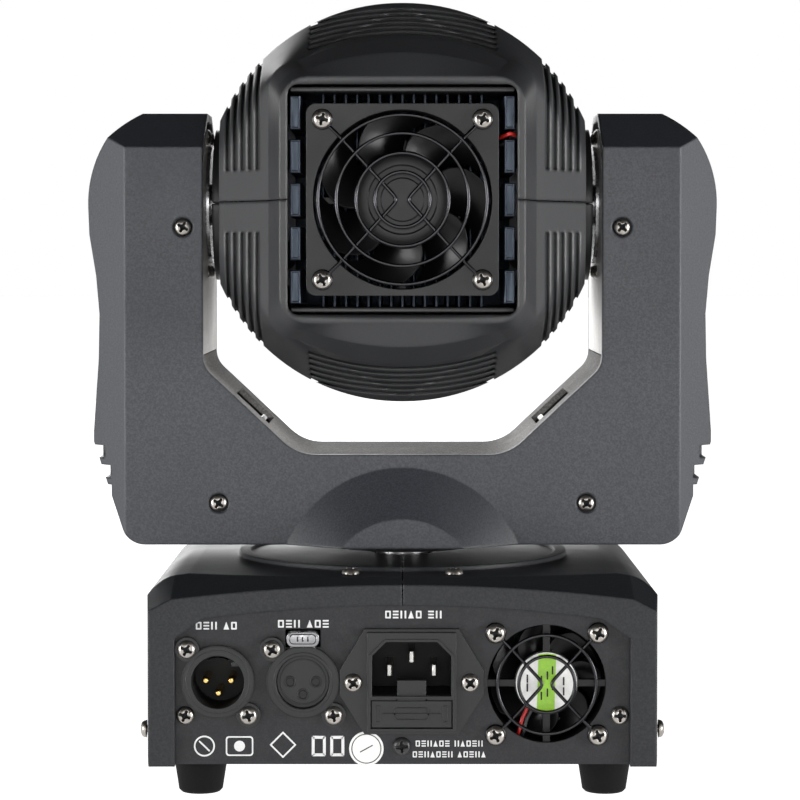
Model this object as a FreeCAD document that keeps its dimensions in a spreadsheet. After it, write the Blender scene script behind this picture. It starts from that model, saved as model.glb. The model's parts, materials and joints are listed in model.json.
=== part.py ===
"""Compact moving head light: a base, a yoke that pans on it and a head that tilts in the yoke.

Millimetres. +Z is up, the floor is at z = 0 and the pan axis is at x = y = 0.
The beam leaves towards -Y, and the connector panel faces +Y.
"""
import FreeCAD, Part
import Sketcher
import os
import re

V = FreeCAD.Vector

SIZES = {
    # longer than any cut has to be
    "reach": 200.0,
    # base
    "foot_height": 11.6, "foot_top_radius": 8.6, "foot_floor_radius": 7.0,
    "foot_x": 64.5, "foot_y": 54.0, "foot_screw_radius": 2.1, "foot_recess_radius": 2.5,
    "foot_recess_depth": 3.0,
    "base_half_width": 84.0, "base_end_half_width": 79.3, "base_half_depth": 75.0,
    "base_top": 70.2, "base_dome_radius": 16.0, "cover_wall": 2.5, "seam": 0.3,
    "frame_side_height": 60.3, "frame_bevel_x": 72.2, "frame_bevel_height": 64.0,
    "frame_arch_height": 68.5, "frame_slope": 0.35,
    "ring_radius": 55.5, "ring_rise": 1.5, "ring_width": 4.0, "ring_dip": 0.9,
    "cover_screw_x": 16.4, "cover_screw_y": 60.0, "side_screw_y": 55.0, "side_screw_z": 20.0,
    "plate_thickness": 2.0, "fit_gap": 0.3,
    "bracket_spacing": 100.0, "bracket_hole_radius": 4.25,
    # connector panel
    "panel_half_width": 71.1, "panel_bevel_low": 51.6, "panel_bevel_x": 62.3,
    "panel_bevel_high": 57.8, "panel_arch": 62.0, "panel_thickness": 1.5, "panel_lip": 2.4,
    "panel_screw_x": 68.0, "panel_screw_z": 27.3,
    "earth_screw_x": 0.2, "earth_screw_z": 17.6,
    "xlr_in_x": 57.7, "xlr_out_x": 31.1, "xlr_z": 37.9, "xlr_flange_radius": 11.4,
    "xlr_shell_radius": 8.3, "xlr_wall": 1.2, "xlr_depth": 17.0, "xlr_flange_rise": 1.8,
    "xlr_pin_radius": 1.2, "xlr_pin_pitch": 4.0, "xlr_screw_x": 9.6, "xlr_screw_z": 10.3,
    "xlr_tab_z": 51.5, "xlr_tab_width": 10.3, "xlr_tab_height": 5.0, "xlr_tab_travel": 1.5,
    "inlet_x": -2.85, "inlet_z": 37.85, "inlet_flange_half": 22.4, "inlet_flange_rise": 2.0,
    "inlet_block_half": 13.85, "inlet_block_low": 22.7, "inlet_block_high": 53.6,
    "inlet_block_rise": 3.2, "inlet_recess_half": 12.35, "inlet_recess_low": 33.9,
    "inlet_recess_high": 50.7, "inlet_recess_bevel": 4.4, "inlet_recess_depth": 16.0,
    "inlet_screw_x": 18.25, "inlet_pin_pitch": 7.0, "inlet_body_depth": 22.0,
    "drawer_half": 12.5, "drawer_low": 23.9, "drawer_high": 32.2, "drawer_depth": 15.0,
    "drawer_tab_half": 4.5, "drawer_tab_top": 38.6, "drawer_travel": 20.0,
    "fan_small_x": -45.1, "fan_small_z": 37.2, "fan_small_size": 40.0, "fan_small_depth": 10.0,
    "fan_small_bore": 18.5, "fan_small_hub": 10.0, "fan_small_pitch": 16.0,
    "fan_strut_half": 1.1, "fan_strut_turn": 0.0, "blade_thickness": 1.1, "blade_pitch": 42.0,
    # control panel
    "display_half_width": 22.0, "display_half_height": 9.0, "display_x": -22.0,
    "display_z": 38.0, "button_x": 20.0, "button_pitch": 13.0, "button_radius": 3.6,
    "button_rise": 1.6, "button_travel": 0.8,
    # pan drive
    "column_radius": 9.0, "column_bore": 6.5, "column_top": 97.0, "column_flange": 22.0,
    "running_gap": 0.05, "hub_bottom": 73.0, "hub_foot_radius": 24.0, "hub_radius": 30.0,
    "pan_bearing_radius": 16.0, "pan_bearing_low": 74.5, "pan_bearing_height": 8.0,
    "pan_pulley_radius": 20.0, "motor_pulley_radius": 6.0, "belt_width": 6.0,
    "belt_thickness": 1.4, "belt_gap": 0.3, "pan_belt_low": 87.0, "pan_motor_x": 72.0,
    "motor_side": 35.0, "pan_motor_length": 24.0, "motor_shaft_radius": 2.5,
    # yoke
    "yoke_bottom": 76.4, "yoke_half_depth": 32.0, "yoke_facet": 13.5, "arm_outer": 104.4,
    "arm_top": 218.8, "arm_slope_z": 206.7, "arm_ridge_y": 10.0, "arm_inner": 65.4,
    "arm_knee_z": 134.9, "bar_knee_x": 34.6, "bar_top": 105.9,
    "bump_radius": 41.25, "bump_face_radius": 25.6, "bump_axis_z": 60.4, "bump_rise": 13.0,
    "arm_screw_x": 71.8, "arm_screw_z": 180.5, "bar_screw_x": 60.3, "bar_screw_z": 90.0,
    "foot_corner": 8.0, "arm_shoulder": 35.0, "knee_radius": 8.0, "bar_radius": 16.0,
    "vent_drop": 1.0, "vent_pitch": 6.4, "vent_height": 4.1, "vent_depth": 3.1,
    "vent_step": 0.9, "liner_thickness": 2.0, "window_length": 15.0, "window_width": 34.0,
    # tilt drive
    "tilt_z": 188.5, "tilt_shaft_radius": 7.0, "tilt_shaft_bore": 5.0,
    "tilt_bearing_radius": 12.0, "bearing_flange_radius": 19.7, "bearing_flange": 1.2,
    "tilt_pulley_radius": 20.0, "tilt_belt_x": 70.4, "tilt_motor_z": 140.0,
    "tilt_motor_length": 16.0,
    # head
    "head_radius": 65.0, "head_half_width": 59.5, "head_rear": 71.5, "head_shoulder": 33.0,
    "head_front_shoulder": 34.0, "head_front": 66.0, "head_front_radius": 43.0,
    "head_wall": 2.5, "rear_half": 38.4, "rear_corner": 9.0,
    "head_boss_radius": 25.4, "head_boss_face": 62.8,
    "groove_width": 1.3, "groove_pitch": 2.6, "groove_depth": 1.1, "groove_inset": 14.1,
    "groove_low": 10.0, "arc_groove_rim": 2.4, "arc_groove_pitch": 1.8, "arc_groove_width": 0.9,
    "arc_groove_half_width": 30.0, "arc_groove_drop": 40.0, "ridge_y": 59.0, "brow_y": 67.0,
    "fan_size": 60.0, "fan_depth": 15.0, "fan_bore": 28.0, "fan_hub": 15.5, "fan_pitch": 25.0,
    "fan_rear": 71.0, "fan_corner": 3.0, "guard_wire": 0.55, "guard_lift": 2.0, "guard_eye": 2.75,
    "sink_half": 35.2, "sink_back": 22.0, "sink_plate": 5.0, "fin_pitch": 3.6,
    "fin_thickness": 1.3, "rib_height": 10.5, "rib_pitch": 13.6, "rib_width": 3.4,
    "led_half": 12.0, "wheel_offset": 24.0, "wheel_radius": 31.0, "wheel_hole_radius": 5.5,
    "wheel_thickness": 1.2, "color_wheel_y": 4.0, "gobo_wheel_y": -2.0,
    "wheel_motor_radius": 10.0, "wheel_motor_length": 14.0, "wheel_shaft_radius": 1.5,
    "mouth_depth": 40.0, "barrel_radius": 36.0, "barrel_wall": 2.0, "barrel_back": 18.0,
    "barrel_flange_gap": 10.5, "lens_gap": 0.5,
    "lens_thickness": 3.0, "lens_crown": 5.0, "lens_back": 56.0, "bezel_front": 69.0,
    # screws
    "screw_head_radius": 2.9, "screw_head_height": 1.9, "screw_shank_radius": 1.25,
    "screw_length": 8.0, "screw_hole_radius": 1.6, "counterbore_radius": 3.3,
    "screw_sink": 1.2,
}

doc = FreeCAD.newDocument("moving_head_light")
sheet = doc.addObject("Spreadsheet::Sheet", "Sizes")
for row, (alias, value) in enumerate(SIZES.items(), 1):
    sheet.set("A%d" % row, alias)
    sheet.set("B%d" % row, str(value))
    sheet.setAlias("B%d" % row, alias)
doc.recompute()

nodes = {}


# ---------------------------------------------------------------- helpers

def bound(text):
    """Write a size expression with each name pointing at its cell in the sheet."""
    return re.sub(r"[a-z_][a-z_0-9]*",
                  lambda found: "Sizes." + found[0] if found[0] in SIZES else found[0], str(text))


def value(text):
    return float(sheet.evalExpression(bound(text)))


def bind(thing, **properties):
    for name, text in properties.items():
        thing.setExpression(name, bound(text))
    return thing


def place(thing, x=0, y=0, z=0, rotation=FreeCAD.Rotation()):
    thing.Placement = FreeCAD.Placement(V(0, 0, 0), rotation)
    for name, text in (("x", x), ("y", y), ("z", z)):
        thing.setExpression("Placement.Base." + name, bound(text))
    return thing


TURN = {"X": FreeCAD.Rotation(V(0, 1, 0), 90), "Y": FreeCAD.Rotation(V(1, 0, 0), -90),
        "-Y": FreeCAD.Rotation(V(1, 0, 0), 90), "Z": FreeCAD.Rotation(),
        "-X": FreeCAD.Rotation(V(0, 1, 0), -90)}


def along(axis, first, second, third):
    """Order (two cross coordinates, one along the axis) as x, y, z."""
    return {"X": (third, first, second), "Y": (first, third, second),
            "Z": (first, second, third)}[axis]


def box(x, y, z):
    """A block given by its low and high value along each axis."""
    block = bind(doc.addObject("Part::Box", "block"),
                 Length="(%s) - (%s)" % (x[1], x[0]), Width="(%s) - (%s)" % (y[1], y[0]),
                 Height="(%s) - (%s)" % (z[1], z[0]))
    return place(block, x[0], y[0], z[0])


def rod(axis, centre, radius, low, high):
    bar = bind(doc.addObject("Part::Cylinder", "rod"), Radius=radius,
               Height="(%s) - (%s)" % (high, low))
    return place(bar, *along(axis, centre[0], centre[1], low), TURN[axis])


def torus(centre, radius, wire):
    """A wire ring facing along Y."""
    ring = bind(doc.addObject("Part::Torus", "ring"), Radius1=radius, Radius2=wire)
    return place(ring, *centre, TURN["Y"])


def cut(base, *tools):
    result = doc.addObject("Part::Cut", "cut")
    result.Base = base
    result.Tool = tools[0] if len(tools) == 1 else together(*tools)
    return result


def join(*pieces):
    result = doc.addObject("Part::MultiFuse", "join")
    result.Shapes = list(pieces)
    return result


def overlap(*pieces):
    result = doc.addObject("Part::MultiCommon", "overlap")
    result.Shapes = list(pieces)
    return result


def together(*pieces):
    result = doc.addObject("Part::Compound", "group")
    result.Links = list(pieces)
    return result


def tube(axis, centre, outer, inner, low, high):
    return cut(rod(axis, centre, outer, low, high),
               rod(axis, centre, inner, "(%s) - 1" % low, "(%s) + 1" % high))


def mirrored(piece, normal=V(1, 0, 0)):
    result = doc.addObject("Part::Mirroring", "mirrored")
    result.Source = piece
    result.Normal = normal
    return result


def outline(body, plane, loops):
    """A sketch of closed loops: corners, an arc between two corners, or a circle."""
    sketch = body.newObject("Sketcher::SketchObject", "outline")
    origin = [part for part in body.Origin.OriginFeatures if part.Role == plane][0]
    sketch.AttachmentSupport = [(origin, "")]
    sketch.MapMode = "FlatFace"

    def fix(kind, *parts, text):
        number = sketch.addConstraint(Sketcher.Constraint(kind, *parts, value(text)))
        sketch.setExpression("Constraints[%d]" % number, bound(text))

    for loop in loops:
        if loop[0] == "circle":
            centre_x, centre_y, radius = loop[1:]
            centre = V(value(centre_x), value(centre_y), 0)
            edge = sketch.addGeometry(Part.Circle(centre, V(0, 0, 1), value(radius)))
            fix("Radius", edge, text=radius)
            fix("DistanceX", -1, 1, edge, 3, text=centre_x)
            fix("DistanceY", -1, 1, edge, 3, text=centre_y)
            continue
        corners = [item for item in loop if item[0] != "arc"]
        spots = [V(value(x), value(y), 0) for x, y in corners]
        arcs = {len([item for item in loop[:index] if item[0] != "arc"]) - 1: item
                for index, item in enumerate(loop) if item[0] == "arc"}
        first = sketch.GeometryCount
        ends = []
        for index, spot in enumerate(spots):
            after = spots[(index + 1) % len(spots)]
            if index in arcs:
                middle = V(value(arcs[index][1]), value(arcs[index][2]), 0)
                arc = Part.Arc(spot, middle, after)
                edge = sketch.addGeometry(arc)
                start = sketch.getPoint(edge, 1)
                ends.append((1, 2) if start.distanceToPoint(spot) < 1e-6 else (2, 1))
            else:
                sketch.addGeometry(Part.LineSegment(spot, after))
                ends.append((1, 2))
        for index in range(len(spots)):
            after = (index + 1) % len(spots)
            sketch.addConstraint(Sketcher.Constraint(
                "Coincident", first + index, ends[index][1], first + after, ends[after][0]))
        for index, (x, y) in enumerate(corners):
            fix("DistanceX", -1, 1, first + index, ends[index][0], text=x)
            fix("DistanceY", -1, 1, first + index, ends[index][0], text=y)
        for index, item in arcs.items():
            fix("Radius", first + index, text=item[3])
    return sketch


def prism(axis, loops, low, high, lean=None):
    """An outline extruded along an axis. lean shears it: the rise for each step towards -Y."""
    body = doc.addObject("PartDesign::Body", "prism")
    plane = {"X": "YZ_Plane", "Y": "XZ_Plane", "Z": "XY_Plane"}[axis]
    pad = body.newObject("PartDesign::Pad", "pad")
    pad.Profile = outline(body, plane, loops)
    pad.setExpression("Length", bound("(%s) - (%s)" % (high, low)))
    if lean is not None:
        pad.UseCustomVector = True
        pad.AlongSketchNormal = True
        pad.Direction = V(0, -1, value(lean))
    start = high if axis == "Y" else low
    return place(body, *along(axis, 0, 0, start))


def lathe(axis, centre, profile):
    """A profile of (radius, distance along the axis) turned about the axis."""
    body = doc.addObject("PartDesign::Body", "lathe")
    turn = body.newObject("PartDesign::Revolution", "turn")
    if axis == "X":
        swapped = [(item[0], item[2], item[1], item[3]) if item[0] == "arc"
                   else (item[1], item[0]) for item in profile]
        sketch = outline(body, "XY_Plane", [swapped])
        line = "H_Axis"
    else:
        sketch = outline(body, "XY_Plane" if axis == "Y" else "XZ_Plane", [profile])
        line = "V_Axis"
    turn.Profile = sketch
    turn.ReferenceAxis = (sketch, [line])
    turn.Angle = 360
    return place(body, *along(axis, centre[0], centre[1], 0))


def copies(master, spots):
    """The same piece at several spots, each (x, y, z, rotation)."""
    links = []
    for x, y, z, rotation in spots:
        link = doc.addObject("App::Link", "copy")
        link.LinkedObject = master
        links.append(place(link, x, y, z, rotation))
    return together(*links)


def node(name, piece):
    piece.Label = name
    nodes[name] = piece
    return piece


def neg(text):
    return "-(%s)" % text


def both(text):
    return (neg(text), text)


# ---------------------------------------------------------------- screws

def screw(scale, length):
    """A pan head screw with a cross recess. It stands along +Z with its seat at z = 0."""
    head = "screw_head_radius * %s" % scale
    top = "screw_head_height * %s" % scale
    shank = "screw_shank_radius * %s" % scale
    blank = lathe("Z", (0, 0), [(0, neg(length)), (shank, neg(length)), (shank, 0), (head, 0),
                                (head, top + " * 0.45"), (head + " * 0.72", top + " * 0.92"),
                                (0, top)])
    slot = ("-0.17 * " + head, "0.17 * " + head)
    wide = ("-0.6 * " + head, "0.6 * " + head)
    deep = (top + " * 0.45", top + " + 1")
    return cut(blank, join(box(slot, wide, deep), box(wide, slot, deep)))


small_screw = screw("1", "screw_length")
fan_screw = screw("1.04", "fan_small_depth + 4")
long_screw = screw("1.04", "fan_depth + 0.9")


# ---------------------------------------------------------------- base covers and plates

def barrel(inset):
    """The base's plan: straight front and rear edges, gently bowed sides."""
    wide = "base_half_width - %s" % inset
    narrow = "base_end_half_width - %s" % inset
    deep = "base_half_depth - %s" % inset
    bow = "(pow(base_half_depth - %s; 2) / (base_half_width - base_end_half_width)" \
          " + base_half_width - base_end_half_width) / 2" % inset
    return [(narrow, neg(deep)), ("arc", wide, "0", bow), (narrow, deep), (neg(narrow), deep),
            ("arc", neg(wide), "0", bow), (neg(narrow), neg(deep))]


def base_form(inset, low):
    """The base's outer form, shrunk by an inset: bowed plan, domed sides, sloping ends."""
    wide = "base_half_width - %s" % inset
    top = "base_top - %s" % inset
    turn = "base_dome_radius - %s" % inset
    middle = "(1 - sqrt(0.5)) * (%s)" % turn
    side_low = "(%s) - (%s)" % (top, turn)
    side_in = "(%s) - (%s)" % (wide, turn)
    dome = prism("Y", [[(wide, low), (wide, side_low),
                        ("arc", "(%s) - %s" % (wide, middle), "(%s) - %s" % (top, middle), turn),
                        (side_in, top), (neg(side_in), top),
                        ("arc", neg("(%s) - %s" % (wide, middle)), "(%s) - %s" % (top, middle),
                         turn),
                        (neg(wide), side_low), (neg(wide), low)]],
                 neg("base_half_depth"), "base_half_depth")
    plan = prism("Z", [barrel(inset)], low, "base_top + 1")
    end_wide = "base_end_half_width + 8 - %s" % inset
    end_side = "frame_side_height - 4.2 - %s" % inset
    bevel_x = "frame_bevel_x - %s" % inset
    bevel_z = "frame_bevel_height - %s" % inset
    arch_z = "frame_arch_height - %s" % inset
    arch = "(pow(%s; 2) / (frame_arch_height - frame_bevel_height)" \
           " + frame_arch_height - frame_bevel_height) / 2" % ("(" + bevel_x + ")")
    under = "(%s) - base_half_depth * 2 * frame_slope - 1" % low
    end = prism("Y", [[(end_wide, under), (end_wide, end_side), (bevel_x, bevel_z),
                       ("arc", "0", arch_z, arch), (neg(bevel_x), bevel_z),
                       (neg(end_wide), end_side), (neg(end_wide), under)]],
                neg("base_half_depth"), "base_half_depth", lean="frame_slope")
    return overlap(plan, dome, end, mirrored(end, V(0, 1, 0)))


def panel_outline(grow):
    wide = "panel_half_width + %s" % grow
    bevel_x = "panel_bevel_x + %s" % grow
    high = "panel_bevel_high + %s" % grow
    arch = "(pow(%s; 2) / (panel_arch - panel_bevel_high)" \
           " + panel_arch - panel_bevel_high) / 2" % ("(" + bevel_x + ")")
    return [(wide, "panel_bevel_low + %s" % grow), (bevel_x, high),
            ("arc", "0", "panel_arch + %s" % grow, arch), (neg(bevel_x), high),
            (neg(wide), "panel_bevel_low + %s" % grow)]


def panel_loop(grow, low):
    wide = "panel_half_width + %s" % grow
    return [(wide, low)] + panel_outline(grow) + [(neg(wide), low)]


def base_covers():
    outer = join(base_form("0", "foot_height"),
                 rod("Z", ("0", "0"), "ring_radius", "base_top - 1", "base_top + ring_rise"))
    hollow = base_form("cover_wall", "foot_height - 1")
    ends = prism("Y", [panel_loop("0", "foot_height - 1")], neg("base_half_depth + 1"),
                 "base_half_depth + 1")
    dip = rod("Z", ("0", "0"), "ring_radius - ring_width", "base_top + ring_rise - ring_dip",
              "base_top + ring_rise + 1")
    mouth = rod("Z", ("0", "0"), "column_radius + 2", "base_top - 10", "base_top + 10")
    holes = [rod("Z", (x, y), "screw_hole_radius", "base_top - 10", "base_top + 10")
             for x in ("-cover_screw_x", "cover_screw_x")
             for y in ("-cover_screw_y", "cover_screw_y")]
    holes += [rod("X", (y, "side_screw_z"), "screw_hole_radius", neg("base_half_width + 5"),
                  "base_half_width + 5") for y in ("-side_screw_y", "side_screw_y")]
    shell = cut(outer, hollow, ends, dip, mouth, *holes)
    half = box(("seam / 2", "base_half_width + 5"), both("base_half_depth + 5"),
               ("0", "base_top + 20"))
    right = node("base_cover_right", overlap(shell, half))
    node("base_cover_left", mirrored(right))


def base_plate():
    """The steel floor plate, with two bracket holes, foot screws and the column's seat."""
    inset = "(cover_wall + fit_gap)"
    deep = "base_half_depth - cover_wall - panel_thickness - 2 * fit_gap"
    blank = overlap(prism("Z", [barrel(inset)], "foot_height", "foot_height + plate_thickness"),
                    box(both("base_half_width"), both(deep), ("0", "foot_height + 10")))
    holes = [rod("Z", (x, "0"), "bracket_hole_radius", "0", "foot_height + 10")
             for x in ("-bracket_spacing / 2", "bracket_spacing / 2")]
    holes += [rod("Z", (x, y), "foot_screw_radius", "0", "foot_height + 10")
              for x in ("-foot_x", "foot_x") for y in ("-foot_y", "foot_y")]
    holes += [rod("Z", ("0", "0"), "column_bore", "0", "foot_height + 10")]
    node("base_plate", cut(blank, *holes))
    foot = lathe("Z", (0, 0), [(0, "foot_height"), (0, "foot_recess_depth"),
                               ("foot_recess_radius", "foot_recess_depth"),
                               ("foot_recess_radius", "0"),
                               ("foot_floor_radius - 0.8", "0"), ("foot_floor_radius", "0.8"),
                               ("foot_top_radius", "foot_height - 0.6"),
                               ("foot_top_radius - 0.6", "foot_height")])
    spots = [(x, y, "0", TURN["Z"]) for x in ("-foot_x", "foot_x") for y in ("-foot_y", "foot_y")]
    node("rubber_feet", copies(foot, spots))


PANEL_FACE = "(base_half_depth - cover_wall - fit_gap / 3)"
PANEL_BACK = "(base_half_depth - cover_wall - fit_gap / 3 - panel_thickness)"
PANEL_LOW = "foot_height + 0.3"
XLR_SCREWS = [(side + " + xlr_screw_x * %d" % turn, "xlr_z + xlr_screw_z * %d" % turn)
              for side in ("xlr_in_x", "xlr_out_x") for turn in (1, -1)]
INLET_SCREWS = [("inlet_x - inlet_screw_x", "inlet_z"), ("inlet_x + inlet_screw_x", "inlet_z")]
EDGE_SCREWS = [("-panel_screw_x", "panel_screw_z"), ("panel_screw_x", "panel_screw_z"),
               ("earth_screw_x", "earth_screw_z")]
FAN_CORNERS = [(x, z) for x in (-1, 1) for z in (-1, 1)]


def fan_spots(x, z, pitch, y):
    return [("%s + %s * %d" % (x, pitch, right), y, "%s + %s * %d" % (z, pitch, up), TURN["Y"])
            for right, up in FAN_CORNERS]


def rear_panel():
    blank = prism("Y", [panel_loop("panel_lip", PANEL_LOW)], PANEL_BACK, PANEL_FACE)
    trim = box(both("base_end_half_width - cover_wall - fit_gap"),
               both("base_half_depth"), ("0", "base_top"))
    openings = [rod("Y", (x, "xlr_z"), "xlr_shell_radius + xlr_wall + fit_gap / 2", "0", "reach")
                for x in ("xlr_in_x", "xlr_out_x")]
    openings += [box(("xlr_out_x - xlr_tab_width / 2 - fit_gap",
                      "xlr_out_x + xlr_tab_width / 2 + fit_gap"), ("0", "reach"),
                     ("xlr_tab_z - xlr_tab_height / 2 - fit_gap",
                      "xlr_tab_z + xlr_tab_height / 2 + fit_gap")),
                 box(("inlet_x - inlet_block_half - fit_gap / 2",
                      "inlet_x + inlet_block_half + fit_gap / 2"), ("0", "reach"),
                     ("inlet_block_low - fit_gap / 2", "inlet_block_high + fit_gap / 2")),
                 rod("Y", ("fan_small_x", "fan_small_z"), "fan_small_bore", "0", "reach")]
    spots = XLR_SCREWS + INLET_SCREWS + EDGE_SCREWS
    openings += [rod("Y", spot, "screw_hole_radius", "0", "reach") for spot in spots]
    openings += [rod("Y", (x, z), "screw_hole_radius", "0", "reach")
                 for x, y, z, turn in fan_spots("fan_small_x", "fan_small_z",
                                                "fan_small_pitch", "0")]
    node("rear_panel", cut(overlap(blank, trim), *openings))
    seats = [(x, PANEL_FACE + " + xlr_flange_rise", z, TURN["Y"]) for x, z in XLR_SCREWS]
    seats += [(x, PANEL_FACE + " + inlet_flange_rise", z, TURN["Y"]) for x, z in INLET_SCREWS]
    seats += [(x, PANEL_FACE, z, TURN["Y"]) for x, z in EDGE_SCREWS]
    seats += [(x, neg(PANEL_FACE), z, TURN["-Y"]) for x, z in EDGE_SCREWS[:2]]
    node("panel_screws", copies(small_screw, seats))


def xlr_flange(x):
    """The connector's round flange with two screw ears on a diagonal."""
    low = PANEL_FACE
    high = PANEL_FACE + " + xlr_flange_rise"
    ears = [rod("Y", spot, "screw_head_radius + 0.9", low, high)
            for spot in XLR_SCREWS if spot[0].startswith(x)]
    return join(rod("Y", (x, "xlr_z"), "xlr_flange_radius", low, high), *ears)


def xlr_sockets():
    depth = PANEL_FACE + " - xlr_depth"
    front = PANEL_FACE + " + xlr_flange_rise"
    for x, name in (("xlr_in_x", "xlr_input_shell"), ("xlr_out_x", "xlr_output_shell")):
        barrel_tube = rod("Y", (x, "xlr_z"), "xlr_shell_radius + xlr_wall", depth, front)
        floor = depth + " + 2.5" if name == "xlr_input_shell" else depth + " + 1.5"
        holes = [rod("Y", (x, "xlr_z"), "xlr_shell_radius", floor, "reach")]
        holes += [rod("Y", spot, "screw_hole_radius", "0", "reach")
                  for spot in XLR_SCREWS if spot[0].startswith(x)]
        if name == "xlr_output_shell":
            holes += [box(("xlr_out_x - xlr_tab_width / 2 - fit_gap",
                           "xlr_out_x + xlr_tab_width / 2 + fit_gap"), ("0", "reach"),
                          ("xlr_tab_z - xlr_tab_height / 2 - fit_gap", "xlr_tab_z + 20"))]
        else:
            holes += [rod("Y", spot, "xlr_pin_radius + running_gap", "0", "reach")
                      for spot in xlr_pin_spots(x)]
        node(name, cut(join(xlr_flange(x), barrel_tube), *holes))
    pins = [lathe("Y", spot, [("0", depth + " - 3"), ("xlr_pin_radius", depth + " - 3"),
                              ("xlr_pin_radius", PANEL_FACE + " - 2.2"),
                              ("xlr_pin_radius * 0.5", PANEL_FACE + " - 1.4"),
                              ("0", PANEL_FACE + " - 1.4")])
            for spot in xlr_pin_spots("xlr_in_x")]
    node("xlr_input_pins", together(*pins))
    insert = rod("Y", ("xlr_out_x", "xlr_z"), "xlr_shell_radius - fit_gap / 2",
                 depth + " + 1.6", PANEL_FACE + " + 0.6")
    sockets = [rod("Y", spot, "xlr_pin_radius + 0.15", PANEL_FACE + " - 12", "reach")
               for spot in xlr_pin_spots("xlr_out_x")]
    node("xlr_output_insert", cut(insert, *sockets))
    half = "xlr_tab_width / 2"
    low = "xlr_tab_z - xlr_tab_height / 2"
    high = "xlr_tab_z + xlr_tab_height / 2"
    tab = prism("Y", [[("xlr_out_x - " + half, low), ("xlr_out_x + " + half, low),
                       ("xlr_out_x + " + half, high + " - 1.6"),
                       ("xlr_out_x + " + half + " - 1.6", high),
                       ("xlr_out_x - " + half + " + 1.6", high),
                       ("xlr_out_x - " + half, high + " - 1.6")]],
                PANEL_BACK + " - 2", PANEL_FACE + " + xlr_flange_rise + 0.8")
    node("xlr_latch", tab)


def xlr_pin_spots(x):
    return [(x + " - xlr_pin_pitch", "xlr_z"), (x + " + xlr_pin_pitch", "xlr_z"),
            (x, "xlr_z - xlr_pin_pitch")]


def power_inlet():
    """A mains inlet with its fuse drawer below the recess."""
    face = PANEL_FACE + " + inlet_flange_rise"
    front = PANEL_FACE + " + inlet_block_rise"
    back = PANEL_FACE + " - inlet_body_depth"
    wide = "inlet_flange_half"
    shoulder = "inlet_block_half + 0.9"
    top = "inlet_block_high + 1"
    low = "inlet_block_low - 1"
    flange = prism("Y", [[("inlet_x + " + wide, "inlet_z - 4"), ("inlet_x + " + wide, "inlet_z + 4"),
                          ("inlet_x + " + shoulder, top), ("inlet_x - (%s)" % shoulder, top),
                          ("inlet_x - " + wide, "inlet_z + 4"), ("inlet_x - " + wide, "inlet_z - 4"),
                          ("inlet_x - (%s)" % shoulder, low), ("inlet_x + " + shoulder, low)]],
                   PANEL_FACE, face)
    block = box(("inlet_x - inlet_block_half", "inlet_x + inlet_block_half"), (back, front),
                ("inlet_block_low", "inlet_block_high"))
    half = "inlet_recess_half"
    recess = prism("Y", [[("inlet_x - " + half, "inlet_recess_low"),
                          ("inlet_x + " + half, "inlet_recess_low"),
                          ("inlet_x + " + half, "inlet_recess_high - inlet_recess_bevel"),
                          ("inlet_x + " + half + " - inlet_recess_bevel", "inlet_recess_high"),
                          ("inlet_x - " + half + " + inlet_recess_bevel", "inlet_recess_high"),
                          ("inlet_x - " + half, "inlet_recess_high - inlet_recess_bevel")]],
                   PANEL_FACE + " - inlet_recess_depth", "reach")
    gap = "fit_gap"
    bay = box(("inlet_x - drawer_half - " + gap, "inlet_x + drawer_half + " + gap),
              (PANEL_FACE + " - drawer_depth - " + gap, "reach"),
              ("drawer_low - " + gap, "drawer_high + " + gap))
    notch = box(("inlet_x - drawer_tab_half - " + gap, "inlet_x + drawer_tab_half + " + gap),
                (front + " - 2.6", "reach"), ("drawer_high", "inlet_recess_low + 1"))
    holes = [rod("Y", spot, "screw_hole_radius", "0", "reach") for spot in INLET_SCREWS]
    pins = [box(("inlet_x %s - 1" % shift, "inlet_x %s + 1" % shift),
                (back + " - 4", PANEL_FACE + " - 2"), (z + " - 2", z + " + 2"))
            for shift, z in (("- inlet_pin_pitch", "inlet_z + 3.2"),
                             ("+ inlet_pin_pitch", "inlet_z + 3.2"), ("+ 0", "inlet_z + 7.4"))]
    slots = [box(("inlet_x %s - 1.05" % shift, "inlet_x %s + 1.05" % shift),
                 (back + " - 5", "reach"), (z + " - 2.05", z + " + 2.05"))
             for shift, z in (("- inlet_pin_pitch", "inlet_z + 3.2"),
                              ("+ inlet_pin_pitch", "inlet_z + 3.2"), ("+ 0", "inlet_z + 7.4"))]
    node("power_inlet", cut(join(flange, block), recess, bay, notch, *holes, *slots))
    node("inlet_pins", together(*pins))
    tray = box(("inlet_x - drawer_half", "inlet_x + drawer_half"),
               (PANEL_FACE + " - drawer_depth", front + " - 0.4"), ("drawer_low", "drawer_high"))
    hollow = box(("inlet_x - drawer_half + 1.5", "inlet_x + drawer_half - 1.5"),
                 (PANEL_FACE + " - drawer_depth + 2", front + " - 3"),
                 ("drawer_low + 1.5", "drawer_high + 1"))
    tab = box(("inlet_x - drawer_tab_half", "inlet_x + drawer_tab_half"),
              (front + " - 2.4", front + " - 0.8"), ("drawer_high - 1", "drawer_tab_top"))
    node("fuse_drawer", join(cut(tray, hollow), tab))


# ---------------------------------------------------------------- fans

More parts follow.
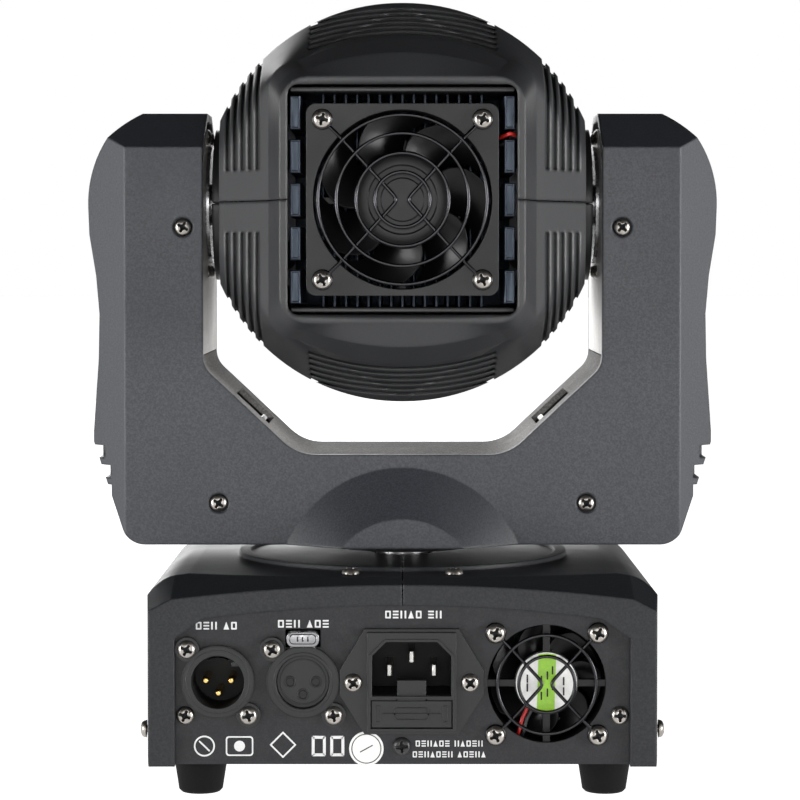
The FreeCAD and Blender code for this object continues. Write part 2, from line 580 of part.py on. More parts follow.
def rounded_loop(x, z, half, corner, wide=None, crown=None):
    """A rounded square about a point. It can be given its own width and crowned ends."""
    wide = wide or half
    across = "(%s - %s)" % (wide, corner)
    upward = "(%s - %s)" % (half, corner)
    bend = "%s * sqrt(0.5)" % corner
    loop = []
    for right, up in ((1, 1), (-1, 1), (-1, -1), (1, -1)):
        def spot(first, second):
            return ("%s + %d * (%s)" % (x, right, first), "%s + %d * (%s)" % (z, up, second))
        turn = [spot(wide, upward), spot(across, half)]
        turn = turn if right == up else turn[::-1]
        middle = spot("%s + %s" % (across, bend), "%s + %s" % (upward, bend))
        loop += [turn[0], ("arc", *middle, corner), turn[1]]
        if crown and right == up:
            radius = "(pow(%s; 2) + pow(%s; 2)) / (2 * %s)" % (across, crown, crown)
            loop.append(("arc", x, "%s + %d * (%s + %s)" % (z, up, half, crown), radius))
    return loop


def fan(prefix, centre, size, bore, hub, pitch, rear, depth, blades, struts_outside):
    """An axial fan: a square frame with struts and motor cup, and a bladed rotor."""
    x, z = centre
    front = "(%s) - %s" % (rear, depth)
    half = "%s / 2" % size
    frame = prism("Y", [rounded_loop(x, z, half, "fan_corner")], front, rear)
    duct = rod("Y", centre, bore, front + " - 1", "(%s) + 1" % rear)
    holes = [rod("Y", (a, b), "screw_hole_radius + 0.3", front + " - 1", "(%s) + 1" % rear)
             for a, y, b, turn in fan_spots(x, z, pitch, "0")]
    if struts_outside:
        cup_low, cup_high = "(%s) - 2" % rear, rear
        spin_low, spin_high = front + " + 0.8", "(%s) - 2.5" % rear
    else:
        cup_low, cup_high = front, front + " + 2"
        spin_low, spin_high = front + " + 2.5", "(%s) - 0.8" % rear
    cup = rod("Y", centre, hub, cup_low, cup_high)
    struts = [box(both("fan_strut_half"), (cup_low, cup_high), ("0", bore + " + 0.6"))
              for turn in range(4)]
    for number, strut in enumerate(struts):
        turn = FreeCAD.Rotation(V(0, 1, 0), value("fan_strut_turn") + 90 * number)
        offset = turn.multVec(V(-value("fan_strut_half"), 0, 0))
        strut.Placement = FreeCAD.Placement(V(0, 0, 0), turn)
        bind(strut, **{"Placement.Base.x": "%s + %.4f" % (x, offset.x),
                       "Placement.Base.y": cup_low,
                       "Placement.Base.z": "%s + %.4f" % (z, offset.z)})
    node(prefix + "_frame", join(cut(frame, duct, *holes), cup, *struts))
    tip = rod("Y", centre, "%s - 0.8" % bore, spin_low, spin_high)
    wings = []
    for number in range(blades):
        wing = bind(doc.addObject("Part::Box", "wing"), Length="blade_thickness",
                    Width="(%s) * 1.7" % depth, Height=bore)
        spin = FreeCAD.Rotation(V(0, 1, 0), 360.0 * number / blades)
        pitch_turn = FreeCAD.Rotation(V(0, 0, 1), value("blade_pitch"))
        turn = spin.multiply(pitch_turn)
        middle = turn.multVec(V(-value("blade_thickness / 2"), -value("(%s) * 0.85" % depth), 0))
        wing.Placement = FreeCAD.Placement(V(0, 0, 0), turn)
        bind(wing, **{"Placement.Base.x": "%s + %.4f" % (x, middle.x),
                      "Placement.Base.y": "(%s) - %s / 2 + %.4f" % (rear, depth, middle.y),
                      "Placement.Base.z": "%s + %.4f" % (z, middle.z)})
        wings.append(wing)
    core = rod("Y", centre, hub + " - 0.2", spin_low, spin_high)
    node(prefix + "_rotor", join(core, overlap(join(*wings), tip)))


QUARTER_TURN = FreeCAD.Rotation(V(0, 1, 0), 90)


def wire_guard(name, centre, rear, pitch, radii, lift, apex):
    """A wire finger guard: flat rings, and a bent wire from each pair of corner screws.

    It is made with the bends above and below the axis, then given a quarter turn.
    """
    x, z = centre
    y = "(%s) + %s" % (rear, lift)
    rings = [torus((x, y, z), radius, "guard_wire") for radius in radii]
    foot = "(%s) + guard_wire" % rear
    eyes = [torus((a, foot, b), "guard_eye", "guard_wire")
            for a, c, b, turn in fan_spots(x, z, pitch, "0")]
    wire_y = value(y) - value("guard_wire") * 0.8
    wires = []
    for right, up in FAN_CORNERS:
        outward = V(right, 0, up).normalize()
        start = V(value(pitch) * right, value(foot), value(pitch) * up)
        start -= outward * value("guard_eye")
        edge = outward * value(radii[0])
        edge.y = wire_y
        tip = V(0, wire_y, apex * up)
        for first, second in ((start, edge), (edge, tip)):
            run = second - first
            wire = bind(doc.addObject("Part::Cylinder", "wire"), Radius="guard_wire",
                        Height="%.4f" % run.Length)
            wires.append(place(wire, "%s + %.4f" % (x, first.x), "%.4f" % first.y,
                               "%s + %.4f" % (z, first.z), FreeCAD.Rotation(V(0, 0, 1), run)))
            bend = bind(doc.addObject("Part::Sphere", "bend"), Radius="guard_wire * 1.06")
            wires.append(place(bend, "%s + %.4f" % (x, second.x), "%.4f" % second.y,
                               "%s + %.4f" % (z, second.z)))
    upright = node(name, join(*rings, *eyes, *wires))
    place(upright, "%s - (%s)" % (x, z), "0", "%s + %s" % (z, x), QUARTER_TURN)


def fans():
    fan("base_fan", ("fan_small_x", "fan_small_z"), "fan_small_size", "fan_small_bore",
        "fan_small_hub", "fan_small_pitch", PANEL_BACK, "fan_small_depth", 7, True)
    wire_guard("base_fan_guard", ("fan_small_x", "fan_small_z"), PANEL_FACE, "fan_small_pitch",
               ("15.45", "8.75"), "1.4", 1.5)
    node("base_fan_screws", copies(fan_screw, fan_spots(
        "fan_small_x", "fan_small_z", "fan_small_pitch", PANEL_FACE + " + 2.1 * guard_wire")))
    fan("head_fan", ("0", "tilt_z"), "fan_size", "fan_bore", "fan_hub", "fan_pitch", "fan_rear",
        "fan_depth", 9, False)
    wire_guard("head_fan_guard", ("0", "tilt_z"), "fan_rear", "fan_pitch",
               ("26.35", "20.65", "14.5", "8.6"), "guard_lift", 2.0)
    node("head_fan_screws", copies(long_screw, fan_spots(
        "0", "tilt_z", "fan_pitch", "fan_rear + 2.1 * guard_wire")))


# ---------------------------------------------------------------- control panel and boards

BUTTONS = ["menu_button_%d" % number for number in (1, 2, 3, 4)]


def button_x(number):
    return "button_x + button_pitch * %d" % number


def control_panel():
    face = neg(PANEL_FACE)
    back = neg(PANEL_BACK)
    blank = prism("Y", [panel_loop("panel_lip", PANEL_LOW)], face, back)
    trim = box(both("base_end_half_width - cover_wall - fit_gap"),
               both("base_half_depth"), ("0", "base_top"))
    window = box(("display_x - display_half_width", "display_x + display_half_width"),
                 ("-reach", "0"), ("display_z - display_half_height",
                                  "display_z + display_half_height"))
    holes = [rod("Y", (button_x(number), "display_z"), "button_radius + fit_gap", "-reach", "0")
             for number in range(4)]
    holes += [rod("Y", spot, "screw_hole_radius", "-reach", "0") for spot in EDGE_SCREWS[:2]]
    node("front_panel", cut(overlap(blank, trim), window, *holes))
    gap = "fit_gap / 2"
    pane = box(("display_x - display_half_width + " + gap, "display_x + display_half_width - " + gap),
               (face + " - 0.4", back + " + 1.2"),
               ("display_z - display_half_height + " + gap,
                "display_z + display_half_height - " + gap))
    node("display_window", pane)
    for number, name in enumerate(BUTTONS):
        centre = (button_x(number), "display_z")
        cap = lathe("Y", centre, [("0", face + " - button_rise"),
                                  ("button_radius - 0.8", face + " - button_rise"),
                                  ("button_radius", face + " - button_rise + 0.8"),
                                  ("button_radius", back + " + 0.4"),
                                  ("button_radius + 1", back + " + 0.4"),
                                  ("button_radius + 1", back + " + 1.4"),
                                  ("0", back + " + 1.4")])
        node(name, cap)
    board = box(("display_x - display_half_width - 6", button_x(3) + " + 6"),
                (back + " + 4", back + " + 5.6"), ("display_z - 16", "display_z + 14"))
    chips = [box((x, x + " + 9"), (back + " + 5.6", back + " + 8"), (z, z + " + 9"))
             for x, z in (("-30", "display_z - 4"), ("-6", "display_z - 8"),
                          ("24", "display_z"))]
    screen = box(("display_x - display_half_width + 2", "display_x + display_half_width - 2"),
                 (back + " + 1.5", back + " + 4"), ("display_z - display_half_height + 2",
                                                    "display_z + display_half_height - 2"))
    node("control_board", join(board, screen, *chips))


def power_supply():
    low = "foot_height + plate_thickness + 4"
    edge = "base_half_width - "
    board = box((edge + "57", edge + "11"), ("23 - base_half_depth", "base_half_depth - 41"),
                (low, low + " + 1.6"))
    posts = [rod("Z", (edge + x, y), "2.5", "foot_height + plate_thickness", low + " + 0.5")
             for x in ("53", "15") for y in ("27 - base_half_depth", "base_half_depth - 45")]
    top = low + " + 1.6"
    transformer = box((edge + "44", edge + "24"), ("-22", "0"), (top + " - 0.5", top + " + 18"))
    cans = [rod("Z", (edge + x, y), r, top + " - 0.5", top + " + " + height)
            for x, y, r, height in (("46", "20", "6", "20"), ("30", "20", "6", "20"),
                                    ("49", "-38", "4", "12"), ("38", "-38", "4", "12"))]
    sink = box((edge + "20", edge + "17"), ("-44", "8"), (top + " - 0.5", top + " + 16"))
    node("power_supply_board", join(board, transformer, sink, *posts, *cans))


# ---------------------------------------------------------------- pan drive

def belt_outline(x1, r1, x2, r2, swap=False):
    """A loop round two pulleys on one line, with r1 larger than r2."""
    span = "(%s - (%s))" % (x2, x1)
    lean = "((%s - (%s)) / %s)" % (r1, r2, span)
    square = "sqrt(1 - pow(%s; 2))" % lean
    a = ("%s + (%s) * %s" % (x1, r1, lean), "(%s) * %s" % (r1, square))
    b = ("%s + (%s) * %s" % (x2, r2, lean), "(%s) * %s" % (r2, square))
    points = [(a[0], neg(a[1])), (b[0], neg(b[1])), ("arc", "%s + (%s)" % (x2, r2), "0", r2),
              b, a, ("arc", "%s - (%s)" % (x1, r1), "0", r1)]
    if not swap:
        return points
    return [("arc", item[2], item[1], item[3]) if item[0] == "arc" else (item[1], item[0])
            for item in points]


def pan_drive():
    top = "foot_height + plate_thickness"
    column = join(rod("Z", ("0", "0"), "column_radius", top, "column_top"),
                  rod("Z", ("0", "0"), "column_flange", top, top + " + 3"))
    node("pan_column", cut(column, rod("Z", ("0", "0"), "column_bore", "0", "column_top + 1")))
    belt_top = "pan_belt_low + belt_width"
    pulley = join(rod("Z", ("0", "0"), "pan_pulley_radius", "pan_belt_low - 0.5",
                      belt_top + " + 0.5"),
                  rod("Z", ("0", "0"), "pan_pulley_radius + 1", "pan_belt_low - 1.5",
                      "pan_belt_low - 0.5"))
    node("pan_fixed_pulley", cut(pulley, rod("Z", ("0", "0"), "column_radius + running_gap",
                                             "0", "column_top + 1")))
    bearing = tube("Z", ("0", "0"), "pan_bearing_radius", "column_radius + running_gap",
                   "pan_bearing_low", "pan_bearing_low + pan_bearing_height")
    node("pan_bearing", bearing)
    small = join(rod("Z", ("pan_motor_x", "0"), "motor_pulley_radius", "pan_belt_low - 0.5",
                     belt_top + " + 0.5"),
                 rod("Z", ("pan_motor_x", "0"), "motor_pulley_radius + 1",
                     "pan_belt_low - 1.5", "pan_belt_low - 0.5"))
    node("pan_motor_pulley", cut(small, rod("Z", ("pan_motor_x", "0"),
                                            "motor_shaft_radius + running_gap", "0",
                                            "column_top + 1")))
    inside = belt_outline("0", "pan_pulley_radius + belt_gap", "pan_motor_x",
                          "motor_pulley_radius + belt_gap")
    outside = belt_outline("0", "pan_pulley_radius + belt_gap + belt_thickness", "pan_motor_x",
                           "motor_pulley_radius + belt_gap + belt_thickness")
    node("pan_belt", prism("Z", [outside, inside], "pan_belt_low", belt_top))
    low = belt_top + " + 2"
    half = "motor_side / 2"
    motor = join(box(("pan_motor_x - %s + 4" % half, "pan_motor_x + %s - 4" % half), both(half),
                     (low, low + " + pan_motor_length")),
                 rod("Z", ("pan_motor_x", "0"), "motor_shaft_radius", "pan_belt_low - 1.5",
                     low + " + 1"))
    node("pan_motor", motor)


# ---------------------------------------------------------------- yoke

# The inner edge of the yoke runs down each arm, along a diagonal and across the crossbar.
DIAGONAL = "sqrt(pow(arm_inner - bar_knee_x; 2) + pow(arm_knee_z - bar_top; 2))"
ALONG_X = "((arm_inner - bar_knee_x) / %s)" % DIAGONAL
ALONG_Z = "((arm_knee_z - bar_top) / %s)" % DIAGONAL
KNEE_REACH = "(knee_radius * sqrt((1 - %s) / (1 + %s)))" % (ALONG_Z, ALONG_Z)
BAR_REACH = "(bar_radius * sqrt((1 - %s) / (1 + %s)))" % (ALONG_X, ALONG_X)


def inner_edge(drop):
    """The right half of the yoke's inner edge from the arm to the crossbar, lowered by drop."""
    knee_swell = "(knee_radius * (sqrt(2 / (1 + %s)) - 1) - (%s))" % (ALONG_Z, drop)
    bar_swell = "(bar_radius * (sqrt(2 / (1 + %s)) - 1) - (%s))" % (ALONG_X, drop)
    knee_span = "sqrt(2 - 2 * %s)" % ALONG_Z
    bar_span = "sqrt(2 - 2 * %s)" % ALONG_X
    return [
        ("arm_inner + " + drop, "arm_knee_z + " + KNEE_REACH),
        ("arc", "arm_inner - %s * %s / %s" % (knee_swell, ALONG_X, knee_span),
         "arm_knee_z + %s * (1 - %s) / %s" % (knee_swell, ALONG_Z, knee_span),
         "knee_radius + " + drop),
        ("arm_inner - %s * %s + %s * %s" % (KNEE_REACH, ALONG_X, drop, ALONG_Z),
         "arm_knee_z - %s * %s - %s * %s" % (KNEE_REACH, ALONG_Z, drop, ALONG_X)),
        ("bar_knee_x + %s * %s + %s * %s" % (BAR_REACH, ALONG_X, drop, ALONG_Z),
         "bar_top + %s * %s - %s * %s" % (BAR_REACH, ALONG_Z, drop, ALONG_X)),
        ("arc", "bar_knee_x - %s * (1 - %s) / %s" % (bar_swell, ALONG_X, bar_span),
         "bar_top + %s * %s / %s" % (bar_swell, ALONG_Z, bar_span), "bar_radius + " + drop),
        ("bar_knee_x - " + BAR_REACH, "bar_top - " + drop)]


def reflected(half):
    """The same corners and arcs in reverse order on the other side of x = 0."""
    return [("arc", neg(item[1]), item[2], item[3]) if item[0] == "arc"
            else (neg(item[0]), item[1]) for item in reversed(half)]


# The arm's bowed outer edge: how far inside arm_outer, at which part of the arm's height.
ARM_EDGE = [("1.9", "0.2324"), ("1.9", "0.257"), ("3.8", "0.4277"), ("4.1", "0.5309"),
            ("2.9", "0.6194"), ("0.4", "0.7149"), ("0", "0.7781")]


def arm_level(part):
    return "yoke_bottom + %s * (arm_top - yoke_bottom)" % part


def yoke_outline(inset, clearance=None):
    """The yoke's front view. A clearance opens the inside of the U for the covers' hollow."""
    outer = "arm_outer - %s" % inset
    top = "arm_top - %s" % inset
    bottom = "yoke_bottom + %s" % inset
    right = [(outer + " - foot_corner * 2.5", bottom),
             ("arc", outer + " - foot_corner * 1.93", bottom + " + foot_corner * 0.18",
              "foot_corner"),
             (outer + " - foot_corner * 1.56", bottom + " + foot_corner * 0.65"),
             *[("%s - %s" % (outer, step), arm_level(part)) for step, part in ARM_EDGE],
             ("arc", outer + " - 4.75", top + " - 11.5", "arm_shoulder"),
             (outer + " - 17.4", top)]
    if clearance is None:
        right += [("arm_inner", top)] + inner_edge("0")
    else:
        right += [("arm_inner - " + clearance, top),
                  ("arm_inner - " + clearance, "arm_knee_z + %s * 0.4" % clearance),
                  ("bar_knee_x - %s * 0.4" % clearance, "bar_top + " + clearance)]
    return right + reflected(right)


def yoke_form(inset, clearance=None):
    deep = "yoke_half_depth - %s" % inset
    outer = "arm_outer - %s" % inset
    corner_x = "arm_outer - yoke_facet - %s * 0.6" % inset
    corner_y = "yoke_half_depth - yoke_facet - %s * 0.6" % inset
    front_view = prism("Y", [yoke_outline(inset, clearance)], "-reach", "reach")
    plan = prism("Z", [[(corner_x, neg(deep)), (outer, neg(corner_y)), (outer, corner_y),
                        (corner_x, deep), (neg(corner_x), deep), (neg(outer), corner_y),
                        (neg(outer), neg(corner_y)), (neg(corner_x), neg(deep))]],
                 "0", "arm_top + 5")
    slope = "arm_slope_z - %s * 0.5" % inset
    ridge = "arm_ridge_y - %s * 0.3" % inset
    top = "arm_top - %s" % inset
    side_view = prism("X", [[(neg(deep), "0"), (deep, "0"), (deep, slope), (ridge, top),
                             (neg(ridge), top), (neg(deep), slope)]], "-reach", "reach")
    return overlap(front_view, plan, side_view)


def bump(inset):
    """The half-cone bulge at the foot of the rear cover."""
    cone = bind(doc.addObject("Part::Cone", "bulge"), Radius1="bump_radius - %s" % inset,
                Radius2="bump_face_radius - %s" % inset, Height="bump_rise - %s" % inset)
    place(cone, "0", "yoke_half_depth", "bump_axis_z", TURN["Y"])
    root = rod("Y", ("0", "bump_axis_z"), "bump_radius - %s" % inset, "yoke_half_depth - 6",
               "yoke_half_depth")
    return overlap(join(cone, root), box(both("reach"), ("0", "reach"),
                                         ("yoke_bottom + %s" % inset, "reach")))


def yoke_covers():
    solid = join(yoke_form("0"), bump("0"), mirrored(bump("0"), V(0, 1, 0)))
    hollow = join(yoke_form("cover_wall", "2"), bump("cover_wall"),
                  mirrored(bump("cover_wall"), V(0, 1, 0)))
    hub_mouth = rod("Z", ("0", "0"), "hub_radius + fit_gap", "0", "yoke_bottom + 5")
    level = arm_level(ARM_EDGE[0][1])
    fall = "((foot_corner * 1.56 - %s) / (%s - yoke_bottom - foot_corner * 0.65))" \
           % (ARM_EDGE[0][0], level)
    vents = []
    for number in range(4):
        drop = "(vent_drop + vent_pitch * %d)" % number
        edge = "arm_outer - %s - (%s + vent_height / 2) * %s" % (ARM_EDGE[0][0], drop, fall)
        tall = ("%s - %s - vent_height" % (level, drop), "%s - %s" % (level, drop))
        shallow = ("%s - vent_step" % edge, "%s + 4" % edge)
        deep = ("%s - vent_depth" % edge, "%s + 4" % edge)
        facet = ("yoke_half_depth - 20", "yoke_half_depth - 5")
        cutter = join(box(shallow, both(facet[0]), tall), box(deep, facet, tall),
                      box(deep, (neg(facet[1]), neg(facet[0])), tall))
        vents += [cutter, mirrored(cutter)]
    screws = []
    for x, z in YOKE_SCREWS:
        screws.append(rod("Y", (x, z), "screw_hole_radius", "-reach", "reach"))
        screws.append(rod("Y", (x, z), "counterbore_radius", "yoke_half_depth - screw_sink", "reach"))
        screws.append(rod("Y", (x, z), "counterbore_radius", "-reach", "screw_sink - yoke_half_depth"))
    shell = cut(solid, hollow, hub_mouth, *vents, *screws)
    rear = box(both("reach"), ("seam / 2", "reach"), ("0", "2 * reach"))
    front = box(both("reach"), ("-reach", "-seam / 2"), ("0", "2 * reach"))
    node("yoke_rear_cover", overlap(shell, rear))
    node("yoke_front_cover", overlap(shell, front))
    seats = [(x, "yoke_half_depth - screw_sink", z, TURN["Y"]) for x, z in YOKE_SCREWS]
    seats += [(x, "screw_sink - yoke_half_depth", z, TURN["-Y"]) for x, z in YOKE_SCREWS]
    node("yoke_cover_screws", copies(small_screw, seats))


YOKE_SCREWS = [(x, "arm_screw_z") for x in ("-arm_screw_x", "arm_screw_x")]
YOKE_SCREWS += [(x, "bar_screw_z") for x in ("-bar_screw_x", "bar_screw_x")]


def liners():
    deep = "yoke_half_depth - cover_wall - fit_gap"
    low = "arm_knee_z + %s + fit_gap" % KNEE_REACH
    plate = prism("X", [[(neg(deep), low), (deep, low), (deep, "arm_top - 22"),
                         ("arc", "(%s) * 0.72" % deep, "arm_top - 10.6", "32"), ("6", "arm_top - 5"),
                         ("-6", "arm_top - 5"),
                         ("arc", "-(%s) * 0.72" % deep, "arm_top - 10.6", "32"),
                         (neg(deep), "arm_top - 22")]],
                  "arm_inner", "arm_inner + liner_thickness")
    holes = [rod("X", ("0", "tilt_z"), "tilt_bearing_radius + running_gap", "0", "reach")]
    holes += [rod("X", (y, z), "screw_hole_radius", "0", "reach") for y, z in BEARING_SCREWS]
    right = node("arm_liner_right", cut(plate, *holes))
    node("arm_liner_left", mirrored(right))
    upper = inner_edge("0")
    lower = inner_edge("liner_thickness")
    back = list(reversed(lower))
    strip = upper + reflected(upper) + reflected(back) + back
    rear = prism("Y", [strip], "seam / 2", deep)
    windows = []
    for side in (-1, 1):
        window = bind(doc.addObject("Part::Box", "window"), Length="window_length",
                      Width="window_width", Height="12")
        turn = FreeCAD.Rotation(V(0, 1, 0), -43.3 * side)
        shift = turn.multVec(V(-value("window_length") / 2, 0, -6))
        window.Placement = FreeCAD.Placement(V(0, 0, 0), turn)
        bind(window, **{
            "Placement.Base.x": "(arm_inner + bar_knee_x) / 2 * %d + %.4f" % (side, shift.x),
            "Placement.Base.y": "-window_width / 2", "Placement.Base.z":
            "(arm_knee_z + bar_top) / 2 + %.4f" % shift.z})
        windows.append(window)
    strip_rear = cut(rear, *windows)
    node("crossbar_liners", together(strip_rear, mirrored(strip_rear, V(0, 1, 0))))


BEARING_SCREWS = [("0", "tilt_z + 16"), ("0", "tilt_z - 16")]


def yoke_frame():
    """The steel cradle: a hub that turns on the column, with a plate to both arms."""
    hub = lathe("Z", (0, 0), [("pan_bearing_radius", "hub_bottom"), ("hub_foot_radius", "hub_bottom"),
                              ("hub_radius", "yoke_bottom - 0.6"), ("hub_radius", "yoke_bottom + 3"),
                              ("hub_radius - 6", "yoke_bottom + 3"),
                              ("hub_radius - 6", "pan_bearing_low + pan_bearing_height + 1"),
                              ("pan_bearing_radius - 3",
                               "pan_bearing_low + pan_bearing_height + 1"),
                              ("pan_bearing_radius - 3", "pan_bearing_low + pan_bearing_height"),
                              ("pan_bearing_radius", "pan_bearing_low + pan_bearing_height")])
    low = "yoke_bottom + cover_wall + fit_gap"
    plate = box(both("56"), both("yoke_half_depth - cover_wall - 1"), (low, low + " + 1.5"))
    hole = rod("Z", ("0", "0"), "pan_bearing_radius + 1", "0", "reach")
    node("yoke_frame", join(hub, cut(plate, hole)))


# ---------------------------------------------------------------- tilt drive

def tilt_drive():
    gap = "running_gap"
    bearings = []
    shafts = []
    for side in (-1, 1):
        def span(first, second):
            return (first, second) if side > 0 else (neg(second), neg(first))
        inner = span("arm_inner - bearing_flange - 0.05", "arm_inner - 0.05")
        body = span("arm_inner - bearing_flange - 0.05", "arm_inner + liner_thickness + 1.4")
        race = join(rod("X", ("0", "tilt_z"), "bearing_flange_radius", *inner),
                    rod("X", ("0", "tilt_z"), "tilt_bearing_radius", *body))
        holes = [rod("X", ("0", "tilt_z"), "tilt_shaft_radius + " + gap, "-reach", "reach")]
        bearings.append(cut(race, *holes))
        length = span("head_half_width - 3.8", "tilt_belt_x + belt_width + 2")
        collar = span("head_half_width - 3.8", "head_half_width - head_wall - 0.1")
        shafts.append(cut(join(rod("X", ("0", "tilt_z"), "tilt_shaft_radius", *length),
                               rod("X", ("0", "tilt_z"), "tilt_shaft_radius + 4", *collar)),
                          rod("X", ("0", "tilt_z"), "tilt_shaft_bore", "-reach", "reach")))
    node("tilt_bearings", together(*bearings))
    node("tilt_shafts", together(*shafts))
    low = "-tilt_belt_x - belt_width"
    high = "-tilt_belt_x"
    pulley = rod("X", ("0", "tilt_z"), "tilt_pulley_radius", low + " - 0.5", high + " + 0.5")
    node("tilt_drive_pulley", cut(pulley, rod("X", ("0", "tilt_z"), "tilt_shaft_radius + " + gap,
                                              "-reach", "0")))
    small = rod("X", ("0", "tilt_motor_z"), "motor_pulley_radius", low + " - 0.5", high + " + 0.5")
    node("tilt_motor_pulley", cut(small, rod("X", ("0", "tilt_motor_z"),
                                             "motor_shaft_radius + " + gap, "-reach", "0")))
    half = "motor_side / 2"
    face = low + " - 1.5"
    motor = join(box((face + " - tilt_motor_length", face), both(half),
                     ("tilt_motor_z - " + half, "tilt_motor_z + " + half)),
                 rod("X", ("0", "tilt_motor_z"), "motor_shaft_radius", face + " - 1",
                     high + " + 0.5"))
    node("tilt_motor", motor)
    grow = "belt_gap"
    inside = belt_outline("-tilt_z", "tilt_pulley_radius + " + grow, "-tilt_motor_z",
                          "motor_pulley_radius + " + grow, swap=True)
    thick = grow + " + belt_thickness"
    outside = belt_outline("-tilt_z", "tilt_pulley_radius + " + thick, "-tilt_motor_z",
                           "motor_pulley_radius + " + thick, swap=True)
    flip = [[("arc", item[1], neg(item[2]), item[3]) if item[0] == "arc"
             else (item[0], neg(item[1])) for item in loop] for loop in (outside, inside)]
    node("tilt_belt", prism("X", flip, low, high))


# ---------------------------------------------------------------- head

def section(body, y, *shape):
    """A rounded square in eight edges, standing across the beam axis at a distance y."""
    sketch = outline(body, "XZ_Plane", [rounded_loop("0", "0", *shape)])
    sketch.setExpression("AttachmentOffset.Base.z", bound(neg(y)))
    return sketch


# How far the tail has opened from the rear window towards the full drum, at its two bends.
BROW_SHARE = {"wide": "0.05", "high": "0.09", "crown": "0.2"}
RIDGE_SHARE = {"wide": "0.15", "high": "0.21", "crown": "0.28"}


def tail_section(body, y, share, inset):
    """One bend of the tail, with its top and bottom arched."""
    spread = {side: "(head_radius - rear_half) * " + part for side, part in share.items()}
    return section(body, y, "(rear_half + %s - %s)" % (spread["high"], inset),
                   "(rear_corner - %s * 2.2)" % inset,
                   "(rear_half + %s - %s)" % (spread["wide"], inset), "(%s)" % spread["crown"])


def head_form(inset):
    """The head's form, shrunk by an inset: a drum with a square flared tail and a round nose."""
    radius = "head_radius - %s" % inset
    drum = lathe("Y", ("0", "tilt_z"), [("0", neg("head_front")),
                                        ("head_front_radius - %s" % inset, neg("head_front")),
                                        (radius, neg("head_front_shoulder")),
                                        (radius, "head_shoulder"), ("0", "head_shoulder")])
    body = doc.addObject("PartDesign::Body", "tail")
    tail = body.newObject("PartDesign::AdditiveLoft", "flare")
    tail.Profile = section(body, "head_rear", "(rear_half - %s)" % inset,
                           "(rear_corner - %s * 2.2)" % inset)
    tail.Sections = [tail_section(body, "brow_y", BROW_SHARE, inset),
                     tail_section(body, "ridge_y", RIDGE_SHARE, inset),
                     section(body, "head_shoulder", "(head_radius - %s)" % inset,
                             "(head_radius - %s - 0.5)" % inset)]
    tail.Ruled = True
    place(body, "0", "0", "tilt_z")
    wide = "head_half_width - %s" % inset
    trimmed = overlap(join(drum, body), box(both(wide), both("reach"), ("0", "2 * reach")))
    boss = rod("X", ("0", "tilt_z"), "head_boss_radius - %s" % inset,
               neg("head_boss_face - %s" % inset), "head_boss_face - %s" % inset)
    return join(trimmed, boss)


def head_grooves():
    """Cooling grooves: upright ones on the flanks of the tail, curved ones above and below."""
    slots = []
    for side in (-1, 1):
        for number in range(5):
            edge = "min(head_half_width; head_radius - 5.5) - groove_inset + groove_pitch * %d" \
                   % number
            x = (edge, edge + " + groove_width")
            if side < 0:
                x = (neg(x[1]), neg(x[0]))
            for low, high in (("groove_low", "reach"), ("-reach", "-groove_low")):
                slots.append(box(x, ("head_shoulder - 8", "reach"),
                                 ("tilt_z + " + low, "tilt_z + " + high)))
    for up, heights in ((1, ("tilt_z", "2 * reach")), (-1, ("0", "tilt_z"))):
        window = box(both("arc_groove_half_width"), ("head_shoulder - 6", "reach"), heights)
        centre = ("0", "tilt_z - %d * arc_groove_drop" % up)
        for number in range(6):
            high = "head_radius + arc_groove_drop - arc_groove_rim - arc_groove_pitch * %d" % number
            slots.append(overlap(tube("Y", centre, high, high + " - arc_groove_width",
                                      "head_shoulder - 6", "ridge_y"), window))
    return cut(together(*slots), head_form("groove_depth"))


def head_shells():
    outer = head_form("0")
    hollow = head_form("head_wall")
    mouth = rod("Y", ("0", "tilt_z"), "barrel_radius + 0.5", "-reach", "-mouth_depth")
    shaft = rod("X", ("0", "tilt_z"), "tilt_shaft_radius + running_gap", "-reach", "reach")
    shell = cut(outer, hollow, mouth, shaft, head_grooves())
    upper = box(both("reach"), both("reach"), ("tilt_z + seam / 2", "2 * reach"))
    lower = box(both("reach"), both("reach"), ("0", "tilt_z - seam / 2"))
    node("head_upper_shell", overlap(shell, upper))
    node("head_lower_shell", overlap(shell, lower))


def heat_sink():
    back = "sink_back"
    plate = box(both("sink_half"), (back, back + " + sink_plate"),
                ("tilt_z - sink_half", "tilt_z + sink_half"))
    fins = [box(("%.1f * fin_pitch - fin_thickness / 2" % number,
                 "%.1f * fin_pitch + fin_thickness / 2" % number),
                (back + " + sink_plate - 0.5", "fan_rear - fan_depth - 0.6"),
                ("tilt_z - sink_half + 0.6", "tilt_z + sink_half - 0.6"))
            for number in range(-7, 8)]
    ribs = []
    for side in (-1, 1):
        for number in range(-2, 3):
            x = ("sink_half - rib_width", "sink_half")
            if side < 0:
                x = (neg(x[1]), neg(x[0]))
            z = "tilt_z + %d * rib_pitch" % number
            ribs.append(box(x, (back + " + sink_plate - 0.5", "fan_rear - 1"),
                            (z + " - rib_height / 2", z + " + rib_height / 2")))
    node("heat_sink", join(plate, *fins, *ribs))


LENS_RADIUS = "(barrel_radius - barrel_wall - lens_gap)"


